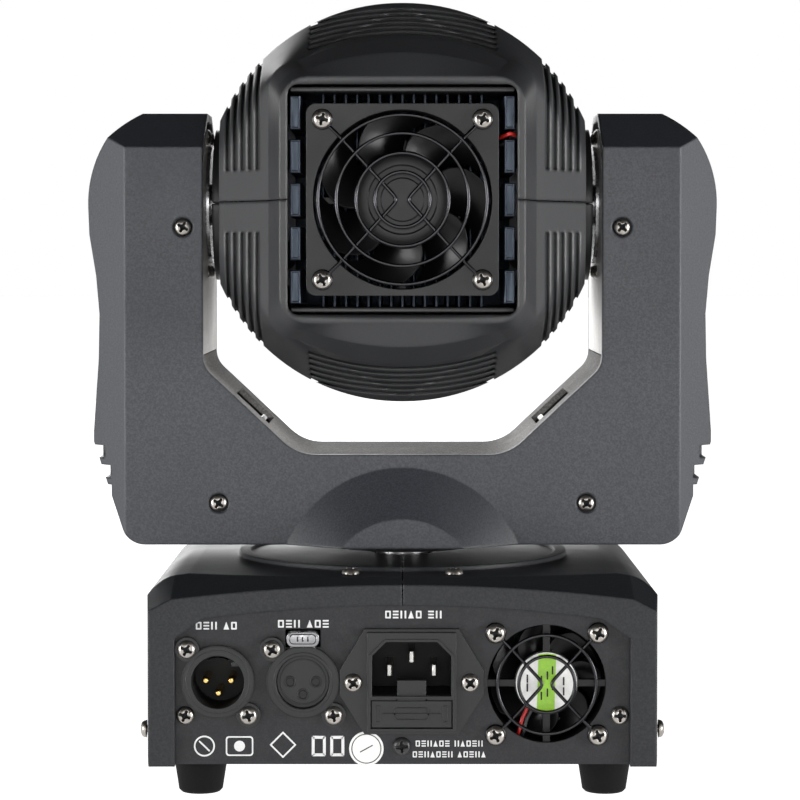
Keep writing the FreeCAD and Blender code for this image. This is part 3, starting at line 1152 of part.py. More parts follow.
def optics():
    led = join(box(both("led_half"), ("sink_back - 2", "sink_back"),
                   ("tilt_z - led_half", "tilt_z + led_half")),
               lathe("Y", ("0", "tilt_z"), [("0", "sink_back - 10"), ("7", "sink_back - 10"),
                                            ("5", "sink_back - 1.5"), ("0", "sink_back - 1.5")]))
    node("led_module", led)
    motors = []
    for name, side, y, motor_low in (("color_wheel", -1, "color_wheel_y", "color_wheel_y + 2.4"),
                                     ("gobo_wheel", 1, "gobo_wheel_y",
                                      "gobo_wheel_y - 1.2 - wheel_motor_length")):
        x = "wheel_offset * %d" % side
        disc = rod("Y", (x, "tilt_z"), "wheel_radius", y, y + " + wheel_thickness")
        holes = [rod("Y", (x, "tilt_z"), "wheel_shaft_radius + running_gap", "-reach", "reach")]
        for number in range(8):
            turn = "%d" % (45 * number)
            holes.append(rod("Y", (x + " + wheel_offset * cos(%s)" % turn,
                                   "tilt_z + wheel_offset * sin(%s)" % turn),
                             "wheel_hole_radius", "-reach", "reach"))
        node(name, cut(disc, *holes))
        can = rod("Y", (x, "tilt_z"), "wheel_motor_radius", motor_low,
                  motor_low + " + wheel_motor_length")
        if side < 0:
            shaft = rod("Y", (x, "tilt_z"), "wheel_shaft_radius", y + " - 0.5", motor_low + " + 1")
        else:
            shaft = rod("Y", (x, "tilt_z"), "wheel_shaft_radius",
                        motor_low + " + wheel_motor_length - 1", y + " + wheel_thickness + 0.5")
        motors.append(join(can, shaft))
    node("wheel_motors", together(*motors))
    flange = cut(rod("Y", ("0", "tilt_z"), "head_radius - head_wall - barrel_flange_gap",
                     "-barrel_back - 2", "-barrel_back"),
                 rod("Y", ("0", "tilt_z"), "12", "-reach", "0"))
    barrel_tube = tube("Y", ("0", "tilt_z"), "barrel_radius", "barrel_radius - barrel_wall",
                       "-head_front", "-barrel_back - 1")
    node("optics_barrel", join(flange, barrel_tube))
    dome = "(pow(%s; 2) / lens_crown + lens_crown) / 2" % LENS_RADIUS
    back = "-lens_back"
    edge = "-lens_back - lens_thickness"
    half_way = "%s * 0.5" % LENS_RADIUS
    fall = "(%s) * (1 - sqrt(1 - pow(%s / (%s); 2)))" % (dome, half_way, dome)
    lens = lathe("Y", ("0", "tilt_z"), [("0", back), (LENS_RADIUS, back), (LENS_RADIUS, edge),
                                        ("arc", half_way, edge + " - lens_crown + " + fall, dome),
                                        ("0", edge + " - lens_crown")])
    node("front_lens", lens)
    bezel = lathe("Y", ("0", "tilt_z"),
                  [(LENS_RADIUS + " - 1.5", "-head_front - 0.2"), (LENS_RADIUS + " - 1.5", "-bezel_front"),
                   ("barrel_radius + 1", "-bezel_front"), ("barrel_radius + 4", "-bezel_front + 1.5"),
                   ("barrel_radius + 4", "-head_front - 0.2")])
    node("lens_bezel", bezel)


def cover_screws():
    spots = [(x, y, "base_top", TURN["Z"]) for x in ("-cover_screw_x", "cover_screw_x")
             for y in ("-cover_screw_y", "cover_screw_y")]
    side = "base_half_width - (base_half_width - base_end_half_width)" \
           " * pow(side_screw_y / base_half_depth; 2) + fit_gap"
    spots += [(side, y, "side_screw_z", TURN["X"]) for y in ("-side_screw_y", "side_screw_y")]
    spots += [(neg(side), y, "side_screw_z", TURN["-X"]) for y in ("-side_screw_y", "side_screw_y")]
    node("base_cover_screws", copies(small_screw, spots))


for build in (base_covers, base_plate, rear_panel, xlr_sockets, power_inlet, fans, control_panel,
              power_supply, pan_drive, yoke_covers, liners, yoke_frame, tilt_drive, head_shells,
              heat_sink, optics, cover_screws):
    build()

doc.recompute()
failed = ["%s (%s): %s" % (thing.Name, thing.Label, thing.State) for thing in doc.Objects
          if "Invalid" in thing.State or "Error" in thing.State]
if failed:
    raise RuntimeError("failed: " + "; ".join(failed))
for name, piece in nodes.items():
    shape = piece.Shape
    if shape.isNull() or not shape.isValid() or not shape.Solids:
        raise RuntimeError("%s has no valid solid" % name)
if len(nodes) > 60:
    raise RuntimeError("too many nodes: %d" % len(nodes))

os.makedirs("parts", exist_ok=True)
for name, piece in nodes.items():
    piece.Shape.exportStep("parts/%s.step" % name)
print(len(nodes), "nodes")
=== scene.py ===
"""The looks of a compact moving head stage light, built round its packed design model."""
import json
import math

import bpy
from mathutils import Matrix, Vector

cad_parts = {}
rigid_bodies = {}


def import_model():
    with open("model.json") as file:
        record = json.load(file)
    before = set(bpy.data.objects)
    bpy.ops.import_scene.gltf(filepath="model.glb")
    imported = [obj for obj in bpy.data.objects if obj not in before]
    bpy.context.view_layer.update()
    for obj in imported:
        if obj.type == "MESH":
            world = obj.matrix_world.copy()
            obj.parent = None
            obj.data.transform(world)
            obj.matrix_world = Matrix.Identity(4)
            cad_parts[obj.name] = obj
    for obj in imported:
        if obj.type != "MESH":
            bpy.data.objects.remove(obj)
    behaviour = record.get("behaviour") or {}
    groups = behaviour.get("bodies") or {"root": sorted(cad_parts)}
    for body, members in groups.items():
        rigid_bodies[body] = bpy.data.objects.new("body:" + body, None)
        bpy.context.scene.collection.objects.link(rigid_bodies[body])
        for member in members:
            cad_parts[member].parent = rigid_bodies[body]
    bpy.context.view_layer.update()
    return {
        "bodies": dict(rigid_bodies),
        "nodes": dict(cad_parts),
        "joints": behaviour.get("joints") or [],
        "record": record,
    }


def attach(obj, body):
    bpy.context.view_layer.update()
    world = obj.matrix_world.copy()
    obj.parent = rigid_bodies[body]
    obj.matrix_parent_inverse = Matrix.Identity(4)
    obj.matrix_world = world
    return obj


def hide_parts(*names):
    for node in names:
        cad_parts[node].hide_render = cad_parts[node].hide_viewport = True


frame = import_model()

bl_info = {
    "name": "Moving Head Light",
    "version": (1, 0, 0),
    "blender": (4, 5, 0),
    "location": "View3D > Sidebar > Stage Light",
    "description": "Dresses a moving head light: covers, fans, sockets, optics and studio",
    "category": "Add Mesh",
}

NODES = frame["nodes"]
MM = 0.001

# Places on the light, in millimetres.
TILT_Z = 188.5
PANEL_FACE = 72.4
XLR_IN = (57.7, 37.9)
XLR_OUT = (31.1, 37.9)
INLET = (-2.85, 37.85)
BASE_FAN = (-45.1, 37.2)


# ---------------------------------------------------------------- settings

class LightSizes(bpy.types.PropertyGroup):
    """Sizes of the details that are added to the design model, in metres."""
    edge: bpy.props.FloatProperty(
        name="Edge rounding", description="Radius of the moulded housing edges",
        default=0.0011, unit="LENGTH")
    lead: bpy.props.FloatProperty(
        name="Lead radius", description="Radius of the fan leads",
        default=0.0006, unit="LENGTH")
    print_rise: bpy.props.FloatProperty(
        name="Print thickness", description="Thickness of the printed marks",
        default=0.00005, unit="LENGTH")


class LightColors(bpy.types.PropertyGroup):
    """Base colours of the finishes."""
    housing: bpy.props.FloatVectorProperty(
        name="Housing", description="Textured charcoal of the yoke and base covers",
        subtype="COLOR", default=(0.0275, 0.0298, 0.0358))
    head: bpy.props.FloatVectorProperty(
        name="Head", description="Satin black of the head shells",
        subtype="COLOR", default=(0.0185, 0.019, 0.0205))
    ink: bpy.props.FloatVectorProperty(
        name="Ink", description="White print on the connector panel",
        subtype="COLOR", default=(0.6, 0.6, 0.6))


# ---------------------------------------------------------------- node materials

class Shader:
    """A node material that is put together a node at a time."""

    def __init__(self, name):
        plain = bpy.data.materials.get(name)
        if plain:
            plain.name = name + "_plain"
        self.material = bpy.data.materials.new(name)
        self.material.use_nodes = True
        self.tree = self.material.node_tree
        self.bsdf = self.tree.nodes["Principled BSDF"]
        self.place = self.add("ShaderNodeTexCoord").outputs["Object"]

    def add(self, kind, links=None, **values):
        node = self.tree.nodes.new(kind)
        for name, value in values.items():
            if hasattr(node, name):
                setattr(node, name, value)
            else:
                node.inputs[name.replace("_", " ").title()].default_value = value
        for name, source in (links or {}).items():
            self.tree.links.new(source, node.inputs[name])
        return node

    def noise(self, scale, detail=3.0, roughness=0.6, stretch=None):
        place = self.place
        if stretch:
            place = self.add("ShaderNodeMapping", {"Vector": place}, Scale=stretch).outputs[0]
        return self.add("ShaderNodeTexNoise", {"Vector": place}, Scale=scale, Detail=detail,
                        Roughness=roughness).outputs["Fac"]

    def spread(self, value, low, high, start=0.3, stop=0.7):
        """Maps a value between start and stop onto low to high."""
        node = self.add("ShaderNodeMapRange", {"Value": value})
        for number, setting in enumerate((start, stop, low, high), 1):
            node.inputs[number].default_value = setting
        return node.outputs[0]

    def blend(self, factor, first, second):
        node = self.add("ShaderNodeMix", data_type="RGBA")
        self.tree.links.new(factor, node.inputs[0])
        for socket, value in ((6, first), (7, second)):
            if isinstance(value, bpy.types.NodeSocket):
                self.tree.links.new(value, node.inputs[socket])
            else:
                node.inputs[socket].default_value = (*value[:3], 1.0)
        return node.outputs[2]

    def bump(self, height, strength, distance, normal=None):
        links = {"Height": height}
        if normal:
            links["Normal"] = normal
        return self.add("ShaderNodeBump", links, Strength=strength,
                        Distance=distance).outputs["Normal"]

    def soft_edge(self, radius):
        """A normal that rolls over the sharp edges of a moulded or folded piece."""
        return self.add("ShaderNodeBevel", samples=6, Radius=radius).outputs["Normal"]

    def crevice(self, distance):
        """One in the open, falling to nothing in a narrow gap; the mask of the painted shade in
        gaps.
        """
        return self.add("ShaderNodeAmbientOcclusion", samples=6, Distance=distance).outputs["AO"]

    def drive(self, name, source):
        self.tree.links.new(source, self.bsdf.inputs[name])

    def set(self, **values):
        for name, value in values.items():
            self.bsdf.inputs[name.replace("_", " ")].default_value = value


def shade(color, factor):
    return tuple(channel * factor for channel in color)


def moulded(name, color, roughness, grain, depth, speck=0.3, edge=0.0006, shine=0.5):
    """A moulded plastic: fine spark-eroded grain and a little tone drift."""
    made = Shader(name)
    fine = made.noise(grain, 2.0, 0.55)
    broad = made.noise(24.0, 4.0, 0.6)
    tone = made.blend(made.spread(fine, 0.0, 1.0, 0.35, 0.72), shade(color, 1.0 - speck),
                      shade(color, 1.0 + speck))
    drift = made.blend(made.spread(broad, 0.0, 0.35, 0.35, 0.75), tone, shade(color, 1.25))
    made.drive("Base Color", drift)
    made.drive("Roughness", made.spread(broad, roughness - 0.05, roughness + 0.06))
    made.drive("Normal", made.bump(fine, 0.35, depth, made.soft_edge(edge)))
    made.set(Specular_IOR_Level=shine)
    return made.material


def coated(name, color, roughness, grain, depth, edge=0.0004, shine=0.5):
    """Powder coat on steel: orange-peel lumps under a fine speckle."""
    made = Shader(name)
    fine = made.noise(grain, 2.0, 0.6)
    lumps = made.noise(grain * 0.22, 2.0, 0.5)
    made.drive("Base Color", made.blend(made.spread(fine, 0.0, 1.0, 0.4, 0.75),
                                        shade(color, 0.85), shade(color, 1.7)))
    made.drive("Roughness", made.spread(lumps, roughness - 0.06, roughness + 0.08))
    made.drive("Normal", made.bump(fine, 0.4, depth,
                                   made.bump(lumps, 0.25, depth * 2, made.soft_edge(edge))))
    made.set(Specular_IOR_Level=shine)
    return made.material


def metal(name, color, roughness, scratch=0.12, stretch=(1, 1, 1), grain=900.0, painted_shade_reach=0.0,
          edge=0.0003, speck=0.0):
    """Bare or plated metal with brushed streaks, faint tarnish and painted shade that darkens its
    corners and gaps.
    """
    made = Shader(name)
    streaks = made.noise(grain, 3.0, 0.6, stretch)
    tarnish = made.noise(60.0, 4.0, 0.65)
    tone = made.blend(made.spread(tarnish, 0.0, 1.0, 0.4, 0.8), color, shade(color, 0.72))
    if speck:
        tone = made.blend(made.spread(streaks, speck, 0.0, 0.35, 0.6), tone, shade(color, 0.3))
    # painted shade: an occlusion mask takes the base colour down to near black in narrow gaps and
    # recesses
    if painted_shade_reach:
        tone = made.blend(made.spread(made.crevice(painted_shade_reach), 0.0, 1.0, 0.25, 0.85),
                          shade(color, 0.06), tone)
    made.drive("Base Color", tone)
    made.drive("Roughness", made.spread(streaks, roughness - scratch * 0.5,
                                        roughness + scratch))
    made.drive("Normal", made.bump(streaks, 0.12, 0.00004, made.soft_edge(edge)))
    made.set(Metallic=1.0)
    return made.material


def glassy(name, tint, roughness=0.03, transmission=1.0):
    made = Shader(name)
    smear = made.noise(90.0, 3.0, 0.6)
    made.drive("Roughness", made.spread(smear, roughness, roughness + 0.05))
    made.drive("Base Color", made.blend(smear, tint, shade(tint, 0.92)))
    made.set(Transmission_Weight=transmission, IOR=1.5)
    return made.material


def finishes(colors, edge):
    """One material for each slot of the record, and the finishes of the added details."""
    return {
        "housing_plastic": moulded("housing_plastic", colors.housing, 0.47, 1700.0, 0.00016,
                                   0.4, edge=edge),
        # painted shade: the base covers take the housing colour darkened to 0.42, for the weaker
        # light on the lower part
        "base_plastic_painted_shade": moulded("base_plastic_painted_shade", shade(colors.housing, 0.42), 0.5, 1700.0,
                                0.00012, 0.5, edge, 0.35),
        "head_plastic": moulded("head_plastic", colors.head, 0.38, 2200.0, 0.00004, 0.2,
                                edge * 1.3, 0.45),
        "panel_steel": coated("panel_steel", (0.0095, 0.0098, 0.0115), 0.46, 1800.0, 0.00006,
                              shine=0.35),
        "plate_steel": coated("plate_steel", (0.03, 0.03, 0.033), 0.5, 1500.0, 0.00006),
        "liner_steel": metal("liner_steel", (0.93, 0.9, 0.87), 0.5, 0.25, (1, 1, 1), 1600.0,
                             speck=0.25),
        # painted shade: the upward-facing crossbar liners take a dark grey copy of the bright
        # liner steel
        "crossbar_liner_painted_shade": coated("crossbar_liner_painted_shade", (0.26, 0.25, 0.24), 0.7, 1300.0, 0.00004,
                                 shine=0.12),
        "frame_steel": metal("frame_steel", (0.45, 0.45, 0.46), 0.35),
        "column_steel": metal("column_steel", (0.5, 0.5, 0.5), 0.25, 0.1, (0.1, 0.1, 3)),
        "bearing_steel": metal("bearing_steel", (0.4, 0.4, 0.41), 0.22),
        # painted shade in the cross recesses and gaps of the screws
        "screw_nickel": metal("screw_nickel", (0.4, 0.375, 0.345), 0.3, painted_shade_reach=0.0009),
        "foot_rubber": moulded("foot_rubber", (0.003, 0.003, 0.0033), 0.75, 900.0, 0.0001,
                               shine=0.15),
        # painted shade in the gaps of the connector metal
        "connector_metal": metal("connector_metal", (0.34, 0.34, 0.35), 0.28, painted_shade_reach=0.0008),
        "connector_plastic": moulded("connector_plastic", (0.009, 0.0092, 0.01), 0.42, 1600.0,
                                     0.00004, 0.25, 0.0003, 0.4),
        "contact_gold": metal("contact_gold", (0.86, 0.6, 0.22), 0.18, 0.06),
        "contact_nickel": metal("contact_nickel", (0.5, 0.49, 0.47), 0.3),
        "fan_plastic": moulded("fan_plastic", (0.0045, 0.0045, 0.005), 0.36, 1500.0, 0.00003,
                               0.2, 0.0004, 0.3),
        "rotor_plastic": moulded("rotor_plastic", (0.0035, 0.0035, 0.004), 0.3, 1500.0, 0.00003,
                                 0.2, 0.0004, 0.22),
        "guard_wire": metal("guard_wire", (0.04, 0.04, 0.043), 0.2, 0.05),
        "board": moulded("board", (0.02, 0.16, 0.06), 0.35, 700.0, 0.00004),
        "display": glassy("display", (0.1, 0.14, 0.18), 0.04, 0.6),
        "button_plastic": moulded("button_plastic", (0.05, 0.05, 0.055), 0.4, 1500.0, 0.00003),
        "pulley_plastic": moulded("pulley_plastic", (0.6, 0.58, 0.52), 0.45, 1200.0, 0.00004,
                                  0.1),
        "belt_rubber": moulded("belt_rubber", (0.02, 0.02, 0.02), 0.7, 1500.0, 0.00008),
        "motor_steel": metal("motor_steel", (0.16, 0.16, 0.17), 0.4, 0.2, (1, 1, 30), 300.0),
        "sink_aluminium": metal("sink_aluminium", (0.035, 0.042, 0.052), 0.42, 0.15,
                                (1, 0.05, 1)),
        "led_board": moulded("led_board", (0.75, 0.73, 0.66), 0.35, 800.0, 0.00003, 0.08),
        "barrel_metal": coated("barrel_metal", (0.014, 0.014, 0.015), 0.5, 1500.0, 0.00004),
        "lens_glass": glassy("lens_glass", (0.93, 0.96, 0.97), 0.01),
        "bezel_plastic": moulded("bezel_plastic", (0.018, 0.018, 0.02), 0.3, 2000.0, 0.00002,
                                 0.15),
        "wheel_metal": metal("wheel_metal", (0.12, 0.12, 0.13), 0.35),
        "sink_face": metal("sink_face", (0.045, 0.054, 0.068), 0.38, 0.12, (1, 1, 0.1)),
        "ink": moulded("ink", colors.ink, 0.55, 2500.0, 0.00001, 0.06, edge=0.00001),
        "paper_label": moulded("paper_label", (0.68, 0.68, 0.66), 0.6, 900.0, 0.00001, 0.05,
                               edge=0.00001),
        "green_label": moulded("green_label", (0.25, 0.5, 0.025), 0.35, 900.0, 0.00001, 0.08,
                               edge=0.00001),
        "red_lead": moulded("red_lead", (0.36, 0.012, 0.01), 0.35, 900.0, 0.00001, 0.1),
        "black_lead": moulded("black_lead", (0.015, 0.015, 0.016), 0.35, 900.0, 0.00001, 0.1),
        # near-black finish: painted shade in screw recesses, socket holes, groove rings and deep
        # floors, and dark print marks on labels and the latch
        "painted_shade_and_dark_print": moulded("painted_shade_and_dark_print", (0.004, 0.004, 0.004), 0.7, 900.0, 0.00001, 0.1),
        "glow": moulded("glow", (0.08, 0.35, 0.6), 0.3, 900.0, 0.00001, 0.05, edge=0.00001),
    }


# ---------------------------------------------------------------- mesh building

def facing(x, y, z, right, up):
    """A frame at a point in millimetres: its first axis runs right, its second up."""
    right, up = Vector(right), Vector(up)
    turn = Matrix((right, up, right.cross(up))).transposed()
    return Matrix.Translation((x, y, z)) @ turn.to_4x4()


def on_rear(x, z, y=PANEL_FACE):
    """The frame of someone who looks at the rear from behind: right is -X, out is +Y."""
    return facing(x, y, z, (-1, 0, 0), (0, 0, 1))


def on_front(x, z, y):
    return facing(x, -y, z, (1, 0, 0), (0, 0, 1))


def ring_points(radius, steps, start=0.0, stop=math.tau):
    return [(radius * math.cos(start + (stop - start) * k / steps),
             radius * math.sin(start + (stop - start) * k / steps)) for k in range(steps)]


def rounded(width, height, radius, steps=5):
    """A rectangle with round corners, counter-clockwise."""
    points = []
    for number, (x, y) in enumerate(((1, 1), (-1, 1), (-1, -1), (1, -1))):
        for k in range(steps + 1):
            angle = math.pi / 2 * (number + k / steps)
            points.append((x * (width / 2 - radius) + radius * math.cos(angle),
                           y * (height / 2 - radius) + radius * math.sin(angle)))
    return points


def inset(loop, step):
    """Moves each corner of a counter-clockwise loop inwards."""
    moved = []
    for k, (x, y) in enumerate(loop):
        (ax, ay), (bx, by) = loop[k - 1], loop[(k + 1) % len(loop)]
        before = Vector((x - ax, y - ay)).normalized()
        after = Vector((bx - x, by - y)).normalized()
        normal = Vector((-before.y - after.y, before.x + after.x))
        scale = step / max(0.3, normal.normalized().dot(Vector((-before.y, before.x))))
        normal = normal.normalized() * scale
        moved.append((x + normal.x, y + normal.y))
    return moved


class Piece:
    """Gathers faces in millimetres and turns them into one object with its finishes."""

    def __init__(self, *finish):
        self.finish = finish
        self.corners = []
        self.faces = []
        self.kinds = []

    def add(self, corners, faces, frame=Matrix(), kind=0):
        start = len(self.corners)
        self.corners += [frame @ Vector(corner) for corner in corners]
        self.faces += [[start + number for number in face] for face in faces]
        self.kinds += [kind] * len(faces) if isinstance(kind, int) else kind
        return self

    def skin(self, loops, frame, kind=0, closed=True, caps=(True, True)):
        """Joins loops of equal length, one after another, with a cap at either end."""
        size = len(loops[0])
        faces = [(a * size + b, a * size + (b + 1) % size, (a + 1) * size + (b + 1) % size,
                  (a + 1) * size + b)
                 for a in range(len(loops) - 1) for b in range(size if closed else size - 1)]
        last = (len(loops) - 1) * size
        if caps[0]:
            faces.append(list(range(size))[::-1])
        if caps[1]:
            faces.append([last + k for k in range(size)])
        return self.add([corner for loop in loops for corner in loop], faces, frame, kind)

    def slab(self, loop, low, high, frame, bevel=0.0, kind=0):
        levels = [[(x, y, low) for x, y in loop]]
        if bevel:
            levels.append([(x, y, high - bevel) for x, y in loop])
            levels.append([(x, y, high - bevel * 0.3) for x, y in inset(loop, bevel * 0.3)])
            levels.append([(x, y, high) for x, y in inset(loop, bevel)])
        else:
            levels.append([(x, y, high) for x, y in loop])
        return self.skin(levels, frame, kind)

    def band(self, outer, inner, low, high, frame, kind=0):
        """A flat plate with a hole, from two loops of the same length."""
        size = len(outer)
        levels = [[(x, y, low) for x, y in outer], [(x, y, high) for x, y in outer],
                  [(x, y, high) for x, y in inner], [(x, y, low) for x, y in inner]]
        return self.skin(levels + levels[:1], frame, kind, caps=(False, False))

    def turned(self, profile, frame, steps=48, kind=0, caps=(False, False)):
        """A profile of (radius, height) turned about the frame's third axis."""
        loops = [[(x, y, height) for x, y in ring_points(max(radius, 0.001), steps)]
                 for radius, height in profile]
        return self.skin(loops, frame, kind, caps=caps)

    def tube(self, path, radius, frame=Matrix(), steps=10, kind=0):
        """A round wire along a path of points."""
        path = [Vector(point) for point in path]
        loops = []
        side = None
        for k, point in enumerate(path):
            run = (path[min(k + 1, len(path) - 1)] - path[max(k - 1, 0)]).normalized()
            if side is None:
                side = run.orthogonal().normalized()
            side = (side - run * side.dot(run)).normalized()
            other = run.cross(side)
            loops.append([tuple(point + radius * (side * x + other * y))
                          for x, y in ring_points(1.0, steps)])
        return self.skin(loops, frame, kind)

    def build(self, name, body, replaced=(), flat=35.0):
        mesh = bpy.data.meshes.new(name)
        mesh.from_pydata([corner * MM for corner in self.corners], [], self.faces)
        for face, kind in zip(mesh.polygons, self.kinds):
            face.material_index = kind
        for finish in self.finish:
            mesh.materials.append(bpy.data.materials[finish])
        mesh.update()
        obj = bpy.data.objects.new(name, mesh)
        bpy.context.scene.collection.objects.link(obj)
        mesh.shade_smooth()
        mesh.set_sharp_from_angle(angle=math.radians(flat))
        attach(obj, body)
        if replaced:
            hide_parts(*replaced)
        return obj


def smooth_path(points, steps=6):
    """A Catmull-Rom curve through the points."""
    points = [Vector(point) for point in points]
    points = [points[0] * 2 - points[1], *points, points[-1] * 2 - points[-2]]
    path = []
    for a, b, c, d in zip(points, points[1:], points[2:], points[3:]):
        for k in range(steps):
            t = k / steps
            path.append(0.5 * (2 * b + (c - a) * t + (2 * a - 5 * b + 4 * c - d) * t * t
                               + (3 * b - a - 3 * c + d) * t ** 3))
    path.append(points[-2])
    return path


def islands(node):
    """The separate solids of a design node, each as its list of points in millimetres."""
    mesh = NODES[node].data
    spots = [tuple(round(value / MM, 3) for value in NODES[node].matrix_world @ vertex.co)
             for vertex in mesh.vertices]
    parent = {spot: spot for spot in spots}

    def root(spot):
        while parent[spot] != spot:
            parent[spot] = parent[parent[spot]]
            spot = parent[spot]
        return spot

    for face in mesh.polygons:
        first = root(spots[face.vertices[0]])
        for number in face.vertices[1:]:
            parent[root(spots[number])] = first
    groups = {}
    for spot in parent:
        groups.setdefault(root(spot), []).append(Vector(spot))
    return [groups[key] for key in sorted(groups)]


def screw_seats(node):
    """Where the node's screws sit: (top of the head, direction, head radius, length)."""
    seats = []
    for points in islands(node):
        low = Vector([min(point[k] for point in points) for k in range(3)])
        high = Vector([max(point[k] for point in points) for k in range(3)])
        size = high - low
        axis = max(range(3), key=lambda k: size[k])
        radius = sorted(size)[1] / 2
        middle = (low + high) / 2
        wide = [point[axis] for point in points
                if (point - middle).length > 0 and max(abs((point - middle)[k]) for k in range(3)
                                                       if k != axis) > radius * 0.9]
        side = 1 if sum(wide) / len(wide) > middle[axis] else -1
        out = Vector([side if k == axis else 0 for k in range(3)])
        top = middle + out * size[axis] / 2
        seats.append((top, out, radius, size[axis]))
    return seats


# ---------------------------------------------------------------- screws

# The cross recess of a screw head, in shares of the head's radius.
SLOT_HALF = 0.13
SLOT_REACH = 0.62
BOWL_HALF = 0.22
BOWL_REACH = 0.24
RECESS_EDGE = 0.66
HEAD_RISE = 0.62
SHANK_SHARE = 0.43


def pan_head(piece, top, out, radius, length, turn):
    """A pan head screw with its cross recess painted near-black as painted shade, its head cut by
    a fine round grid.
    """
    right = Vector((0, 0, 1)) if abs(out.z) < 0.5 else Vector((1, 0, 0))
    frame = facing(*top, right, out.cross(right)) @ Matrix.Rotation(turn, 4, "Z")
    height = radius * HEAD_RISE
    rings, turns = 18, 56
    corners = []
    for i in range(rings + 1):
        reach = radius * i / rings
        dome = -height * (1 - (1 - (i / rings) ** 3.4) ** 0.5)
        for x, y in ring_points(reach, turns):
            near, far = sorted((abs(x), abs(y)))
            depth = 0.0
            if near < radius * SLOT_HALF and far < radius * SLOT_REACH:
                depth = height * (0.85 - 0.55 * far / (radius * SLOT_REACH))
            elif near < radius * BOWL_HALF and far < radius * BOWL_REACH:
                depth = height * 0.6
            corners.append((x, y, dome - depth - 0.02))
    faces, kinds = [], []
    for i in range(rings):
        for k in range(turns):
            face = (i * turns + k, i * turns + (k + 1) % turns,
                    (i + 1) * turns + (k + 1) % turns, (i + 1) * turns + k)
            sunk = sum(1 for number in face
                       if corners[number][2] < -height * 0.34
                       and number // turns < rings * RECESS_EDGE)
            faces.append(face)
            # faces sunk into the recess take the second finish, near-black painted shade
            kinds.append(1 if sunk >= 2 else 0)
    piece.add(corners, faces, frame, kinds)
    shank = radius * SHANK_SHARE
    piece.turned([(radius, -height - 0.02), (shank, -height - 0.02), (shank, 0.4 - length),
                  (shank * 0.5, 0.02 - length), (0, 0.02 - length)], frame, 24)


# How the crosses are turned, in radians: the first one, from screw to screw, from node to node.
FIRST_TURN, SCREW_TURN, NODE_TURN = 0.35, 0.83, 0.4


class LIGHT_OT_screws(bpy.types.Operator):
    """Puts a plated cross-head screw in every seat"""
    bl_idname = "light.screws"
    bl_label = "Screws"

    def execute(self, context):
        bodies = {"base_fan_screws": "base", "panel_screws": "base", "base_cover_screws": "base",
                  "yoke_cover_screws": "yoke", "head_fan_screws": "head"}
        for order, (node, body) in enumerate(bodies.items()):
            piece = Piece("screw_nickel", "painted_shade_and_dark_print")
            dark = Piece("black_lead", "painted_shade_and_dark_print")
            for number, (top, out, radius, length) in enumerate(screw_seats(node)):
                earth = node == "panel_screws" and abs(top.x) < 1 and out.y > 0
                pan_head(dark if earth else piece, top, out, radius, length,
                         FIRST_TURN + SCREW_TURN * number + NODE_TURN * order)
            piece.build(node + "_detail", body, [node], 40.0)
            if dark.faces:
                dark.build("earth_screw_detail", body, flat=40.0)
        return {"FINISHED"}


# ---------------------------------------------------------------- fans

def blade(piece, frame, low, high, root, tip, start, sweep, chord_root, chord_tip):
    """A twisted fan blade from the hub to near the duct."""
    across, along = 7, 9
    top, bottom = [], []
    for i in range(across + 1):
        s = i / across
        reach = root + (tip - root) * s
        span = chord_root + (chord_tip - chord_root) * s
        rise = (high - low) * (0.96 - 0.28 * s)
        middle = (low + high) / 2
        for k in range(along + 1):
            t = k / along - 0.5
            angle = start + sweep * s * s + span * t
            level = middle + rise * (t + 0.16 * (1 - 4 * t * t) * (0.7 - 0.4 * s))
            level = min(max(level, low + 0.35), high - 0.35)
            for side, rows in ((0.35, top), (-0.35, bottom)):
                rows.append((reach * math.cos(angle - side * 0.6 / reach),
                             reach * math.sin(angle - side * 0.6 / reach), level + side))
    row = along + 1
    faces = []
    for i in range(across):
        for k in range(along):
            faces.append((i * row + k, (i + 1) * row + k, (i + 1) * row + k + 1, i * row + k + 1))
    count = len(top)
    faces += [tuple(count + number for number in face[::-1]) for face in faces]
    rim = [k for k in range(row)] + [i * row + along for i in range(1, across + 1)]
    rim += [across * row + k for k in range(along - 1, -1, -1)]
    rim += [i * row for i in range(across - 1, 0, -1)]
    for a, b in zip(rim, rim[1:] + rim[:1]):
        faces.append((a, b, count + b, count + a))
    piece.add(top + bottom, faces, frame)


class LIGHT_OT_rotors(bpy.types.Operator):
    """Makes the bladed rotors of the head fan and the base fan"""
    bl_idname = "light.rotors"
    bl_label = "Fan rotors"

    def execute(self, context):
        for name, body, spot, low, high, hub, tip, count, sweep in (
                ("head_fan_rotor", "head_fan", (0, TILT_Z), 58.5, 70.2, 15.2, 27.0, 7, 0.42),
                ("base_fan_rotor", "base_fan", BASE_FAN, 61.7, 68.4, 9.7, 17.5, 7, 0.4)):
            piece = Piece("rotor_plastic")
            frame = on_rear(spot[0], spot[1], 0)
            for number in range(count):
                blade(piece, frame, low + 0.4, high - 0.6, hub - 0.3, tip,
                      math.tau * number / count + 0.2, -sweep, 0.86, 0.74)
            piece.turned([(hub, low), (hub, high - 1.2), (hub - 0.35, high - 0.5),
                          (hub - 1.1, high - 0.15), (hub * 0.72, high - 0.15),
                          (hub * 0.7, high - 0.55), (hub * 0.45, high - 0.6),
                          (hub * 0.44, high - 0.25), (hub * 0.1, high - 0.2), (0, high - 0.2)],
                         frame, 64)
            piece.turned([(hub, low), (hub - 1, low), (hub - 1, high - 3), (0, high - 3)],
                         frame, 48)
            piece.build(name + "_detail", body, [name], 40.0)
        return {"FINISHED"}


